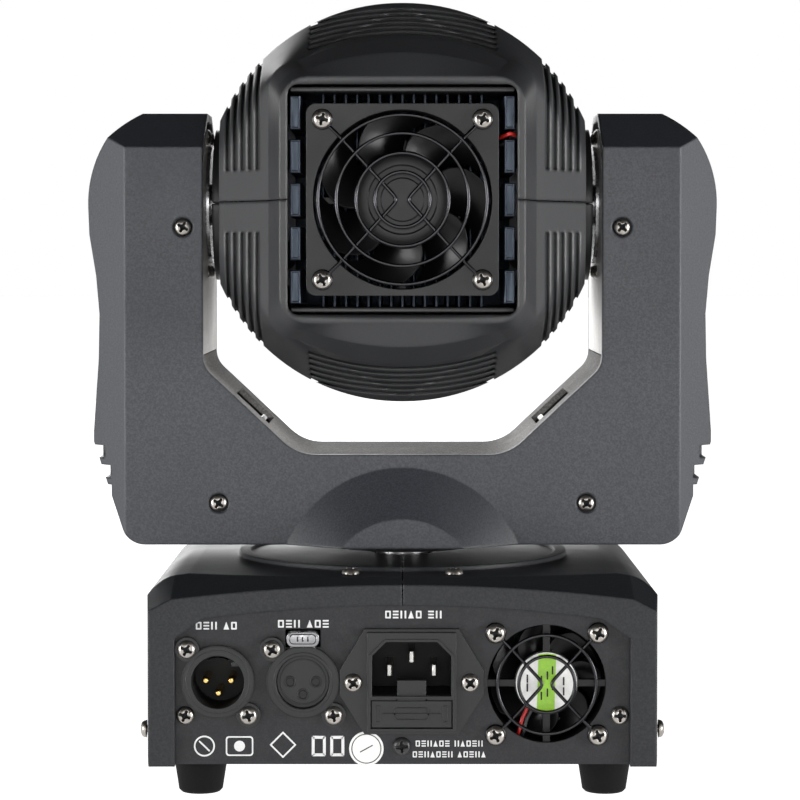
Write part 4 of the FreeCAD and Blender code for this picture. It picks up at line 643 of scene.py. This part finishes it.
class LIGHT_OT_guards(bpy.types.Operator):
    """Makes the wire guards of both fans: flat rings, screw eyes and two softly bent wires"""
    bl_idname = "light.guards"
    bl_label = "Fan guards"

    def execute(self, context):
        wire, eye = 0.55, 2.75
        for node, body, spot, foot, lift, pitch, bend, radii in (
                ("head_fan_guard", "head", (0, TILT_Z), 71.0, 2.0, 25.0, 2.0,
                 (26.35, 20.65, 14.5, 8.6)),
                ("base_fan_guard", "base", BASE_FAN, PANEL_FACE, 1.4, 16.0, 1.5,
                 (15.45, 8.75))):
            piece = Piece("guard_wire")
            frame = on_rear(*spot, foot)
            for radius in radii:
                self.ring(piece, frame, radius, lift, wire)
            level = lift - 0.8 * wire
            near = pitch - eye * math.sqrt(0.5)
            edge = radii[0] * math.sqrt(0.5)
            turn_x, turn_y = bend + 1.6, 2.4
            for side in (-1, 1):
                for up in (-1, 1):
                    corner = frame @ Matrix.Translation((side * pitch, up * pitch, 0))
                    self.ring(piece, corner, eye, wire, wire)
                half = [(near, near, wire), (edge, edge, level),
                        (turn_x + 0.3 * (edge - turn_x), turn_y + 0.3 * (edge - turn_y), level),
                        (turn_x, turn_y, level), (bend + 0.45, 1.0, level)]
                path = half + [(bend + 0.1, 0, level)] + [(x, -y, z) for x, y, z in half[::-1]]
                piece.tube(smooth_path([(side * x, y, z) for x, y, z in path], 4), wire, frame)
            piece.build(node + "_detail", body, [node], 60.0)
        return {"FINISHED"}

    @staticmethod
    def ring(piece, frame, radius, level, wire):
        loop = ring_points(wire, 12)
        piece.turned([(radius + x, level + y) for x, y in loop + loop[:1]], frame, 72)


class LIGHT_OT_fan_label(bpy.types.Operator):
    """Adds the round label on the base fan's motor cup and the leads of both fans"""
    bl_idname = "light.fan_label"
    bl_label = "Fan label and leads"

    def execute(self, context):
        lead = context.scene.light_sizes.lead / MM
        frame = on_rear(*BASE_FAN, 70.9)
        label = Piece("paper_label", "green_label", "painted_shade_and_dark_print")
        label.turned([(9.6, 0.02), (9.6, 0.2), (9.3, 0.3), (0, 0.3)], frame, 64)
        half, radius = 3.0, 9.3
        lean = math.acos(half / radius)
        band = (ring_points(radius, 12, lean, math.pi - lean)
                + ring_points(radius, 12, math.pi + lean, math.tau - lean))
        label.slab(band, 0.3, 0.36, frame, kind=1)
        for x, rows in ((-1.6, (-4.0, 1.0)), (0.3, (-3.0, 2.4)), (1.9, (-1.0, 4.0)),
                        (-6.0, (-1.4, 1.4)), (5.4, (-2.6, 0.6))):
            for z in rows:
                label.slab(rounded(0.5, 2.6, 0.15), 0.36, 0.4,
                           frame @ Matrix.Translation((x, z, 0)), kind=2)
        label.build("base_fan_label", "base")
        leads = Piece("red_lead", "black_lead")
        for kind, shift in ((0, 0.0), (1, -1.5)):
            path = [(BASE_FAN[0] + 5.5 + shift, 69.9, BASE_FAN[1] - 7.2 + shift * 0.3),
                    (BASE_FAN[0] + 7.6 + shift, 70.2, BASE_FAN[1] - 11.5),
                    (BASE_FAN[0] + 8.6 + shift, 70.0, BASE_FAN[1] - 15.5),
                    (BASE_FAN[0] + 9.6 + shift, 67.5, BASE_FAN[1] - 17.4)]
            leads.tube(smooth_path(path), lead, kind=kind)
        leads.build("base_fan_leads", "base")
        leads = Piece("red_lead", "black_lead")
        leads.tube(smooth_path([(-24.0, 56.4, TILT_Z + 18.5), (-29.0, 61.0, TILT_Z + 20.5),
                                (-30.7, 66.5, TILT_Z + 19.6), (-33.5, 69.6, TILT_Z + 20.6),
                                (-35.3, 68.0, TILT_Z + 20.2)]), lead * 1.1)
        leads.tube(smooth_path([(-24.0, 56.4, TILT_Z + 17.0), (-29.5, 60.5, TILT_Z + 17.8),
                                (-31.0, 65.2, TILT_Z + 17.4), (-34.0, 66.2, TILT_Z + 18.6),
                                (-35.3, 64.0, TILT_Z + 18.8)]), lead * 1.1, kind=1)
        leads.build("head_fan_leads", "head")
        return {"FINISHED"}


# ---------------------------------------------------------------- heat sink

SQUARE = [(1, -1), (1, 1), (-1, 1), (-1, -1)]

class LIGHT_OT_heat_sink(bpy.types.Operator):
    """Makes the finned heat sink with its side blocks and its dark top and bottom rails"""
    bl_idname = "light.heat_sink"
    bl_label = "Heat sink"

    def execute(self, context):
        piece = Piece("sink_aluminium", "sink_face", "black_lead")
        half, back, plate = 35.2, 22.0, 5.0
        fin_pitch, wide, thin = 3.6, 0.75, 0.5
        block_pitch, block_wide, block_high = 13.6, 1.7, 5.25
        frame = on_rear(0, TILT_Z, 0)
        piece.slab(rounded(2 * half, 2 * half, 1.0), back, back + plate, frame, 0.4)
        for number in range(-7, 8):
            middle = fin_pitch * number
            levels = ((wide, back + plate - 0.5), (thin, 54.9), (thin * 0.6, 55.4))
            piece.skin([[(middle + x * w, y * (half - 0.6), level) for x, y in SQUARE]
                        for w, level in levels], frame)
        for side in (-1, 1):
            for number in range(-2, 3):
                spot = frame @ Matrix.Translation((side * (half - block_wide),
                                                   block_pitch * number, 0))
                loop = [(x * block_wide, y * block_high) for x, y in SQUARE]
                piece.skin([[(x, y, back + plate - 0.5) for x, y in loop],
                            [(x, y, 69.7) for x, y in loop],
                            [(x, y, 70.0) for x, y in inset(loop, 0.3)],
                            [(x, y, 70.0) for x, y in inset(loop, 0.62)],
                            [(x, y, 69.5) for x, y in inset(loop, 0.75)]], spot,
                           kind=1)
        for side in (-1, 1):
            spot = frame @ Matrix.Translation((0, side * (half - 0.75), 0))
            piece.slab(rounded(2 * half - 0.4, 1.4, 0.3, 2), back + plate - 0.5, 69.9, spot, 0.3,
                       kind=2)
        piece.build("heat_sink_detail", "head", ["heat_sink"])
        return {"FINISHED"}


# ---------------------------------------------------------------- connectors

class LIGHT_OT_sockets(bpy.types.Operator):
    """Adds the trim of the two signal sockets: earth spring, bezel rings, latch and key"""
    bl_idname = "light.sockets"
    bl_label = "Signal sockets"

    def execute(self, context):
        frame = on_rear(*XLR_IN)
        trim = Piece("connector_metal", "painted_shade_and_dark_print", "connector_plastic")
        arc = ring_points(7.9, 16, math.radians(62), math.radians(118))
        for a, b in zip(arc, arc[1:]):
            trim.add([(a[0], a[1], 0.4), (b[0], b[1], 0.4), (b[0] * 0.95, b[1] * 0.95, 1.1),
                      (a[0] * 0.95, a[1] * 0.95, 1.1)], [(0, 1, 2, 3), (3, 2, 1, 0)], frame)
        # painted shade: the inside wall and floor of the input socket are near-black
        trim.turned([(8.25, -12.0), (8.25, 0.9)], frame, 56, kind=1)
        trim.turned([(8.2, -14.3), (0, -14.3)], frame, 32, kind=1)
        # painted shade: the outer ring is near-black, standing in for the shade of a groove
        for radius in (9.6, 10.9):
            trim.turned([(radius, 1.75), (radius + 0.15, 1.86), (radius + 0.45, 1.86),
                         (radius + 0.6, 1.75)], frame, 64, kind=2 if radius < 10 else 1)
        trim.slab(rounded(2.4, 1.6, 0.4), -10.0, 1.2, frame @ Matrix.Translation((5.4, 5.6, 0)),
                  0.2, kind=2)
        trim.build("signal_in_trim", "base")
        frame = on_rear(*XLR_OUT)
        trim = Piece("connector_plastic", "painted_shade_and_dark_print")
        trim.turned([(8.35, 1.7), (8.5, 1.95), (9.3, 1.95), (9.5, 1.7)], frame, 64)
        # painted shade: the outer ring is near-black, standing in for the shade of a groove
        trim.turned([(10.9, 1.75), (11.0, 1.86), (11.3, 1.86), (11.4, 1.75)], frame, 64, kind=1)
        trim.turned([(6.7, 0.55), (6.8, 0.72), (7.2, 0.72), (7.3, 0.55)], frame, 64)
        # painted shade: the three pin holes are near-black discs
        for x, y in ((-4, 0), (4, 0), (0, -4)):
            trim.turned([(1.3, 0.66), (0, 0.66)], frame @ Matrix.Translation((x, y, 0)), 24,
                        kind=1)
            trim.turned([(1.3, 0.6), (1.45, 0.8), (1.75, 0.8), (1.9, 0.6)],
                        frame @ Matrix.Translation((x, y, 0)), 24)
        trim.build("signal_out_trim", "base")
        latch = Piece("connector_metal", "painted_shade_and_dark_print")
        tab = frame @ Matrix.Translation((0, 13.6, 0))
        latch.slab(rounded(10.2, 4.9, 2.0), -1.0, 2.55, tab, 0.4)
        latch.slab([(-5.1, -5.2), (5.1, -5.2), (3.4, -1.5), (-3.4, -1.5)], -1.0, 1.6, tab, 0.2)
        latch.band(rounded(8.4, 3.2, 1.3), rounded(7.9, 2.7, 1.1), 2.5, 2.6, tab, 1)
        for x in (-1.6, 0, 1.6):
            latch.slab(rounded(0.5, 1.5, 0.2, 2), 2.5, 2.6,
                       tab @ Matrix.Translation((x, 0, 0)), kind=1)
        latch.build("xlr_latch_detail", "latch", ["xlr_latch"])
        return {"FINISHED"}


class LIGHT_OT_contacts(bpy.types.Operator):
    """Makes the round gold pins and the flat mains pins with their worked tips"""
    bl_idname = "light.contacts"
    bl_label = "Contacts"

    def execute(self, context):
        pins = Piece("contact_gold")
        for x, y in ((-4, 0), (4, 0), (0, -4)):
            frame = on_rear(*XLR_IN) @ Matrix.Translation((x, y, 0))
            pins.turned([(0, -20.0), (1.2, -20.0), (1.2, -2.7), (1.05, -2.0), (0.7, -1.55),
                         (0, -1.4)], frame, 24)
        pins.build("xlr_input_pins_detail", "base", ["xlr_input_pins"])
        pins = Piece("contact_nickel")
        for x, y in ((-7, 3.2), (7, 3.2), (0, 7.4)):
            frame = on_rear(*INLET) @ Matrix.Translation((x, y, 0))
            loop = rounded(2.0, 4.0, 0.25, 2)
            pins.skin([[(a, b, -25.9) for a, b in loop], [(a, b, -3.4) for a, b in loop],
                       [(a * 0.55, b * 0.85, -2.05) for a, b in loop]], frame)
        pins.build("inlet_pins_detail", "base", ["inlet_pins"])
        return {"FINISHED"}


class LIGHT_OT_inlet(bpy.types.Operator):
    """Adds the raised rims and the fuse symbol of the mains inlet"""
    bl_idname = "light.inlet"
    bl_label = "Mains inlet trim"

    def execute(self, context):
        frame = on_rear(*INLET)
        trim = Piece("connector_plastic", "painted_shade_and_dark_print")
        shape = [(12.35, -3.95), (12.35, 8.45), (7.95, 12.85), (-7.95, 12.85), (-12.35, 8.45),
                 (-12.35, -3.95)]
        trim.band(inset(shape, -0.9), inset(shape, -0.1), 3.1, 3.55, frame)
        # painted shade: the deep floor of the inlet is near-black
        floor = [(x, y, -15.9) for x, y in inset(shape, 0.05)]
        trim.add(floor, [range(len(floor))], frame, 1)
        trim.build("mains_inlet_trim", "base")
        symbol = Piece("connector_plastic")
        spot = frame @ Matrix.Translation((0, -9.7, 0))
        symbol.band(rounded(11.0, 4.0, 1.2), rounded(10.2, 3.2, 0.9), 2.7, 3.1, spot)
        symbol.slab(rounded(18.0, 0.5, 0.2, 2), 2.7, 3.1, spot)
        for x in (-7.4, 7.4):
            symbol.band(rounded(1.8, 5.2, 0.5), rounded(1.1, 4.5, 0.3), 2.7, 3.0,
                        spot @ Matrix.Translation((x * 1.42, 0, 0)))
        symbol.build("fuse_drawer_symbol", "fuse_holder")
        return {"FINISHED"}


# ---------------------------------------------------------------- print and labels

def glyph_row(piece, frame, words, height, pitch):
    """A row of made-up block signs, so many to each word."""
    total = sum(words) * pitch + (len(words) - 1) * pitch * 0.6
    at = -total / 2
    number = 0
    thick = height * 0.2
    rise = bpy.context.scene.light_sizes.print_rise / MM
    for word in words:
        for _ in range(word):
            wide = pitch * 0.74
            spot = frame @ Matrix.Translation((at + pitch / 2, 0, 0.01))
            shape = number % 4
            if shape == 0:
                piece.band(rounded(wide, height, 0.2, 2), rounded(wide - 2 * thick,
                           height - 2 * thick, 0.1, 2), 0, rise, spot)
            elif shape == 1:
                for step in (-0.4, 0.0, 0.4):
                    piece.slab(rounded(wide, thick, 0.05, 1), 0, rise,
                               spot @ Matrix.Translation((0, step * height, 0)))
            elif shape == 2:
                for step in (-0.36, 0.36):
                    piece.slab(rounded(thick * 1.1, height, 0.05, 1), 0, rise,
                               spot @ Matrix.Translation((step * wide, 0, 0)))
            else:
                piece.slab([(-wide / 2, -height / 2), (wide / 2, -height / 2),
                            (0, height / 2)], 0, rise, spot)
            at += pitch
            number += 1
        at += pitch * 0.6


class LIGHT_OT_print(bpy.types.Operator):
    """Prints plain block signs beside the sockets, and sticks on a blank round label"""
    bl_idname = "light.print"
    bl_label = "Panel print"

    def execute(self, context):
        rise = context.scene.light_sizes.print_rise / MM
        signs = Piece("ink")
        for x, z, words, height, pitch in (
                (58.2, 55.4, (3, 2), 2.4, 2.4), (31.0, 56.0, (3, 3), 2.4, 2.5),
                (-3.4, 58.9, (5, 2), 2.4, 2.4), (-14.6, 18.4, (6, 5), 1.9, 1.85),
                (-14.6, 15.0, (7, 5), 1.9, 1.85)):
            glyph_row(signs, on_rear(x, z), words, height, pitch)
        spot = on_rear(62.0, 17.6)
        signs.band(ring_points(3.3, 32), ring_points(2.8, 32), 0, rise, spot)
        signs.slab(rounded(0.5, 4.6, 0.1, 1), 0, rise, spot @ Matrix.Rotation(0.8, 4, "Z"))
        spot = on_rear(51.0, 17.6)
        signs.band(rounded(8.6, 6.2, 1.0), rounded(7.7, 5.3, 0.7), 0, rise, spot)
        signs.slab(ring_points(1.7, 24), 0, rise, spot)
        spot = on_rear(37.4, 18.0)
        loop = [(4.2, 0), (0, 4.2), (-4.2, 0), (0, -4.2)]
        signs.band(loop, inset(loop, 0.5), 0, rise, spot)
        for x in (20.4, 26.2):
            loop = rounded(4.4, 6.4, 0.4)
            signs.band(loop, inset(loop, 0.9), 0, rise, on_rear(x, 17.6))
        signs.build("panel_print", "base")
        label = Piece("paper_label", "black_lead")
        spot = on_rear(11.3, 16.8)
        label.turned([(5.4, 0.0), (5.4, 0.12), (0, 0.13)], spot, 48)
        label.band(ring_points(4.7, 40), ring_points(4.4, 40), 0.12, 0.16, spot, 1)
        label.slab(rounded(4.6, 0.35, 0.1, 1), 0.12, 0.16, spot @ Matrix.Rotation(0.5, 4, "Z"),
                   kind=1)
        label.build("round_label", "base")
        return {"FINISHED"}


# ---------------------------------------------------------------- yoke details

class LIGHT_OT_yoke_details(bpy.types.Operator):
    """Adds the bearing screws and the clips behind the crossbar windows"""
    bl_idname = "light.yoke_details"
    bl_label = "Yoke details"

    def execute(self, context):
        screws = Piece("screw_nickel", "painted_shade_and_dark_print")
        for side in (-1, 1):
            for z in (TILT_Z + 16 + 6.6, TILT_Z - 16 - 6.6):
                for y in (-7.0, 7.0):
                    pan_head(screws, Vector((side * 64.2, y, z)), Vector((-side, 0, 0)), 2.2,
                             6.0, 0.4 * z + y)
        screws.build("bearing_plate_screws", "yoke", flat=40.0)
        clips = Piece("connector_metal", "pulley_plastic")
        for side, kind in ((1, 0), (-1, 1)):
            run = Vector((30.8 * side, 0, 29.0)).normalized()
            out = Vector((-29.0 * side, 0, 30.8)).normalized()
            middle = Vector((50.0 * side, 0, 120.4)) - out * 3.4
            frame = Matrix((run, out.cross(run), out)).transposed().to_4x4()
            frame.translation = middle - run * 2.6
            clips.slab(rounded(7.0, 19.0, 1.2), -1.2, 0.0, frame, 0.3, kind=kind)
            clips.slab(rounded(2.0, 19.0, 0.6), 0.0, 2.6,
                       frame @ Matrix.Translation((-2.4, 0, 0)), 0.3, kind=kind)
            clips.slab(rounded(1.4, 15.0, 0.5), 0.0, 1.4,
                       frame @ Matrix.Translation((2.4, 0, 0)), 0.3, kind=kind)
        clips.build("crossbar_clips", "yoke")
        return {"FINISHED"}


# ---------------------------------------------------------------- front details

class LIGHT_OT_front_details(bpy.types.Operator):
    """Adds the reading on the display and the signs on the buttons"""
    bl_idname = "light.front_details"
    bl_label = "Front details"

    def execute(self, context):
        reading = Piece("glow", "painted_shade_and_dark_print")
        frame = on_front(-22.0, 38.0, PANEL_FACE + 0.35)
        for place in (-9.0, -3.0, 3.0, 9.0):
            for x, y, wide, tall in ((0, 4.2, 3.0, 0.7), (0, 0, 3.0, 0.7), (0, -4.2, 3.0, 0.7),
                                     (-1.9, 2.1, 0.7, 3.2), (1.9, 2.1, 0.7, 3.2),
                                     (-1.9, -2.1, 0.7, 3.2), (1.9, -2.1, 0.7, 3.2)):
                reading.slab(rounded(wide, tall, 0.2, 1), 0.06, 0.1,
                             frame @ Matrix.Translation((place + x, y, 0)))
        reading.build("display_reading", "base")
        for number in range(4):
            sign = Piece("ink")
            spot = on_front(20.0 + 13.0 * number, 38.0, PANEL_FACE + 1.6)
            if number == 0:
                for y in (-0.9, 0, 0.9):
                    sign.slab(rounded(2.6, 0.4, 0.1, 1), 0.0, 0.04,
                              spot @ Matrix.Translation((0, y, 0)))
            elif number == 3:
                loop = ring_points(1.4, 24)
                sign.band(loop, inset(loop, 0.4), 0.0, 0.04, spot)
            else:
                way = 1 if number == 1 else -1
                loop = [(-1.4, -0.8 * way), (1.4, -0.8 * way), (0, 1.3 * way)]
                sign.slab(loop if way > 0 else loop[::-1], 0.0, 0.04, spot)
            sign.build("button_sign_%d" % (number + 1), "button_%d" % (number + 1))
        return {"FINISHED"}


# ---------------------------------------------------------------- finishes and studio

class LIGHT_OT_finishes(bpy.types.Operator):
    """Gives every piece of the design model its finish"""
    bl_idname = "light.finishes"
    bl_label = "Finishes"

    def execute(self, context):
        made = finishes(context.scene.light_colors, context.scene.light_sizes.edge)
        slots = {row["node"]: row["material_slot"] for row in frame["record"]["subparts"]}
        # painted shade: the base covers take a darkened copy of the housing plastic
        own = {"base_cover_left": "base_plastic_painted_shade", "base_cover_right": "base_plastic_painted_shade",
               # painted shade: the crossbar liners take a darker copy of the liner steel
               "crossbar_liners": "crossbar_liner_painted_shade"}
        for name, obj in NODES.items():
            obj.data.materials.clear()
            obj.data.materials.append(made[own.get(name, slots[name])])
        return {"FINISHED"}


class LIGHT_OT_stage(bpy.types.Operator):
    """Sets out the pale floor, the soft lights and the camera"""
    bl_idname = "light.stage"
    bl_label = "Studio"

    def execute(self, context):
        floor_mesh = bpy.data.meshes.new("studio_floor")
        half = 12.0
        floor_mesh.from_pydata([(-half, -half, 0), (half, -half, 0), (half, half, 0),
                                (-half, half, 0)], [], [(0, 1, 2, 3)])
        floor = bpy.data.objects.new("studio_floor", floor_mesh)
        context.scene.collection.objects.link(floor)
        paper = Shader("studio_paper")
        tint = paper.blend(paper.noise(3.0), (0.88, 0.88, 0.88), (0.92, 0.92, 0.92))
        paper.drive("Base Color", tint)
        paper.set(Roughness=0.8, Specular_IOR_Level=0.1, Emission_Color=(1, 1, 1, 1),
                  Emission_Strength=1.0)
        floor_mesh.materials.append(paper.material)
        self.make_world(context)
        for name, spot, aim, size, power in (
                ("left_softbox", (0.95, 0.5, 0.17), (0, 0, 0.19), 0.45, 1.1),
                ("right_softbox", (-0.95, 0.5, 0.17), (0, 0, 0.19), 0.45, 1.3),
                ("rear_fill", (0.0, 2.2, 0.2), (0, 0, 0.17), 0.8, 0.9),
                ("lens_fill", (0.4, -2.2, 0.6), (0, 0, 0.13), 1.2, 2.5)):
            lamp = bpy.data.lights.new(name, "AREA")
            lamp.shape = "SQUARE"
            lamp.size = size
            lamp.spread = math.radians(50)
            lamp.energy = power
            light = bpy.data.objects.new(name, lamp)
            light.location = spot
            light.rotation_euler = (Vector(aim) - Vector(spot)).to_track_quat(
                "-Z", "Y").to_euler()
            context.scene.collection.objects.link(light)
        self.make_camera(context)
        context.scene.view_settings.view_transform = "Standard"
        return {"FINISHED"}

    @staticmethod
    def make_world(context):
        """A white wall all round that fades into a dark ceiling."""
        world = bpy.data.worlds.new("studio_world")
        world.use_nodes = True
        tree = world.node_tree
        place = tree.nodes.new("ShaderNodeTexCoord")
        split = tree.nodes.new("ShaderNodeSeparateXYZ")
        tree.links.new(place.outputs["Generated"], split.inputs[0])
        fade = tree.nodes.new("ShaderNodeMapRange")
        fade.interpolation_type = "SMOOTHSTEP"
        wall_top, ceiling_start, wall_glow, ceiling_glow = 0.13, 0.25, 1.0, 0.02
        for number, value in enumerate((wall_top, ceiling_start, wall_glow, ceiling_glow), 1):
            fade.inputs[number].default_value = value
        tree.links.new(split.outputs["Z"], fade.inputs["Value"])
        background = tree.nodes["Background"]
        background.inputs[0].default_value = (1, 1, 1, 1)
        tree.links.new(fade.outputs[0], background.inputs[1])
        context.scene.world = world

    @staticmethod
    def make_camera(context):
        """The camera stands behind the light, level with the middle of its height."""
        lens = bpy.data.cameras.new("camera")
        lens.sensor_width = 36.0
        lens.lens = 115.92
        down, tilt = math.radians(3.022), math.radians(1.511)
        lens.shift_y = -math.tan(down - tilt) * lens.lens / lens.sensor_width
        lens.shift_x = -0.0031
        camera = bpy.data.objects.new("camera", lens)
        camera.location = (0.0, 0.875, 0.1684)
        aim = Vector((0.0, -math.cos(tilt), -math.sin(tilt)))
        camera.rotation_euler = aim.to_track_quat("-Z", "Y").to_euler()
        context.scene.collection.objects.link(camera)
        context.scene.camera = camera


OPERATORS = [LIGHT_OT_finishes, LIGHT_OT_screws, LIGHT_OT_rotors, LIGHT_OT_guards,
             LIGHT_OT_fan_label,
             LIGHT_OT_heat_sink, LIGHT_OT_sockets, LIGHT_OT_contacts, LIGHT_OT_inlet,
             LIGHT_OT_print, LIGHT_OT_yoke_details, LIGHT_OT_front_details, LIGHT_OT_stage]


class LIGHT_PT_panel(bpy.types.Panel):
    """Lists the steps that dress the light"""
    bl_idname = "LIGHT_PT_panel"
    bl_label = "Moving Head Light"
    bl_space_type = "VIEW_3D"
    bl_region_type = "UI"
    bl_category = "Stage Light"

    def draw(self, context):
        for operator in OPERATORS:
            self.layout.operator(operator.bl_idname)
        for name in LightSizes.__annotations__:
            self.layout.prop(context.scene.light_sizes, name)
        for name in LightColors.__annotations__:
            self.layout.prop(context.scene.light_colors, name)


CLASSES = [LightSizes, LightColors, *OPERATORS, LIGHT_PT_panel]


def register():
    for made in CLASSES:
        bpy.utils.register_class(made)
    bpy.types.Scene.light_sizes = bpy.props.PointerProperty(type=LightSizes)
    bpy.types.Scene.light_colors = bpy.props.PointerProperty(type=LightColors)


def unregister():
    del bpy.types.Scene.light_colors
    del bpy.types.Scene.light_sizes
    for made in reversed(CLASSES):
        bpy.utils.unregister_class(made)


def main():
    register()
    for operator in OPERATORS:
        group, name = operator.bl_idname.split(".")
        getattr(getattr(bpy.ops, group), name)()


if __name__ == "__main__":
    main()
